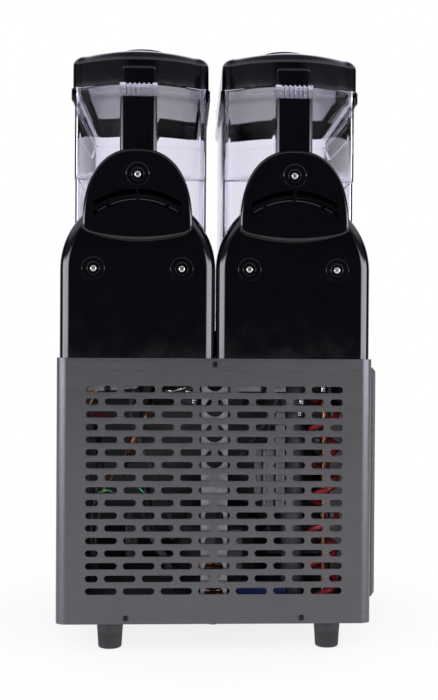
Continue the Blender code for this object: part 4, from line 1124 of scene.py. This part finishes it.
def make_world():
    """White to the eye and through clear plastic; in reflections, two tall side lights and a dark room."""
    world = bpy.data.worlds.new("studio")
    bpy.context.scene.world = world
    world.use_nodes = True
    tree = world.node_tree
    tree.nodes.clear()
    path = tree.nodes.new("ShaderNodeLightPath")
    seen = combine(tree, "MAXIMUM", path.outputs["Is Camera Ray"], path.outputs["Is Transmission Ray"])
    where = tree.nodes.new("ShaderNodeTexCoord")
    split = tree.nodes.new("ShaderNodeSeparateXYZ")
    tree.links.new(where.outputs["Generated"], split.inputs[0])
    across = combine(tree, "ABSOLUTE", split.outputs["X"], 0.0)
    height = combine(tree, "ABSOLUTE", split.outputs["Z"], 0.0)
    behind = ramp(tree, split.outputs["Y"], -0.10, 0.15)
    low_down = ramp(tree, height, 0.12, 0.21, 1.0, 0.02)
    band = combine(tree, "MULTIPLY", ramp(tree, across, 0.30, 0.55), low_down)
    front = ramp(tree, split.outputs["Y"], -0.95, -0.50, 1.0, 0.0)
    above = combine(tree, "MULTIPLY", ramp(tree, split.outputs["Z"], 0.34, 0.55, 0.0, 1.3),
                    ramp(tree, split.outputs["Z"], 0.55, 0.95, 1.0, 0.15))
    sides = combine(tree, "MULTIPLY", combine(tree, "MULTIPLY", band, behind), SIDE_LIGHT)
    total = combine(tree, "ADD", combine(tree, "MAXIMUM", sides, front), above)
    total = combine(tree, "ADD", total, ROOM_LIGHT)
    studio = add_node(tree, "ShaderNodeBackground", Color=(0.90, 0.88, 1.0, 1))
    tree.links.new(total, studio.inputs["Strength"])
    white = add_node(tree, "ShaderNodeBackground", Color=(1, 1, 1, 1))
    mix = tree.nodes.new("ShaderNodeMixShader")
    tree.links.new(seen, mix.inputs["Fac"])
    tree.links.new(studio.outputs[0], mix.inputs[1])
    tree.links.new(white.outputs[0], mix.inputs[2])
    out = tree.nodes.new("ShaderNodeOutputWorld")
    tree.links.new(mix.outputs[0], out.inputs["Surface"])


def soft_box(name, spot, width, height, power, tint=(1, 1, 1)):
    light = bpy.data.lights.new(name, "AREA")
    light.shape = "RECTANGLE"
    light.size = width
    light.size_y = height
    light.energy = power
    light.color = tint
    obj = bpy.data.objects.new(name, light)
    obj.location = spot
    aim = Vector((0, 0, 0.42)) - Vector(spot)
    obj.rotation_mode = "QUATERNION"
    obj.rotation_quaternion = aim.to_track_quat("-Z", "Y")
    obj.visible_camera = False
    bpy.context.scene.collection.objects.link(obj)
    return obj


def make_lights():
    for light in (soft_box("fill_left", (1.9, -1.4, 1.1), 1.2, 1.4, 14),
                  soft_box("fill_right", (-1.9, -1.4, 1.1), 1.2, 1.4, 14),
                  soft_box("top", (0, 0.2, 2.6), 1.6, 1.6, 14),
                  soft_box("flash", (0.35, 2.7, 0.75), 0.5, 0.5, 18)):
        light.visible_glossy = False


def make_camera():
    distance = 1.600
    spot = Vector((0.0385, REAR_Y + distance, 0.4044))
    target = Vector((-0.0047, REAR_Y, 0.3854))
    camera = bpy.data.cameras.new("camera")
    camera.sensor_width = 36.0
    camera.lens = 64.2
    turn = math.radians(1.35)
    camera.shift_x = -math.tan(turn) * camera.lens / camera.sensor_width
    obj = bpy.data.objects.new("camera", camera)
    look = (target - spot).to_track_quat("-Z", "Y").to_matrix().to_4x4()
    look = look @ Matrix.Rotation(-turn, 4, "Y")
    obj.matrix_world = Matrix.Translation(spot) @ look @ Matrix.Rotation(math.radians(0.36), 4, "Z")
    bpy.context.scene.collection.objects.link(obj)
    bpy.context.scene.camera = obj


def main():
    make_camera()
    make_lights()
    make_world()
    make_floor()
    bpy.context.scene.view_settings.view_transform = "Standard"
    mats = make_materials()
    make_housing(mats)
    make_feet(mats)
    for side, x in SIDES.items():
        make_cover(side, x, mats)
        make_hood(side, x, mats)
        make_column(side, x, mats)
        make_bowl(side, x, mats)
        make_lid(side, x, mats)
        make_cylinder(side, x, mats)
        make_auger(side, x, mats)
    make_inside(mats)
    dress(mats)


main()
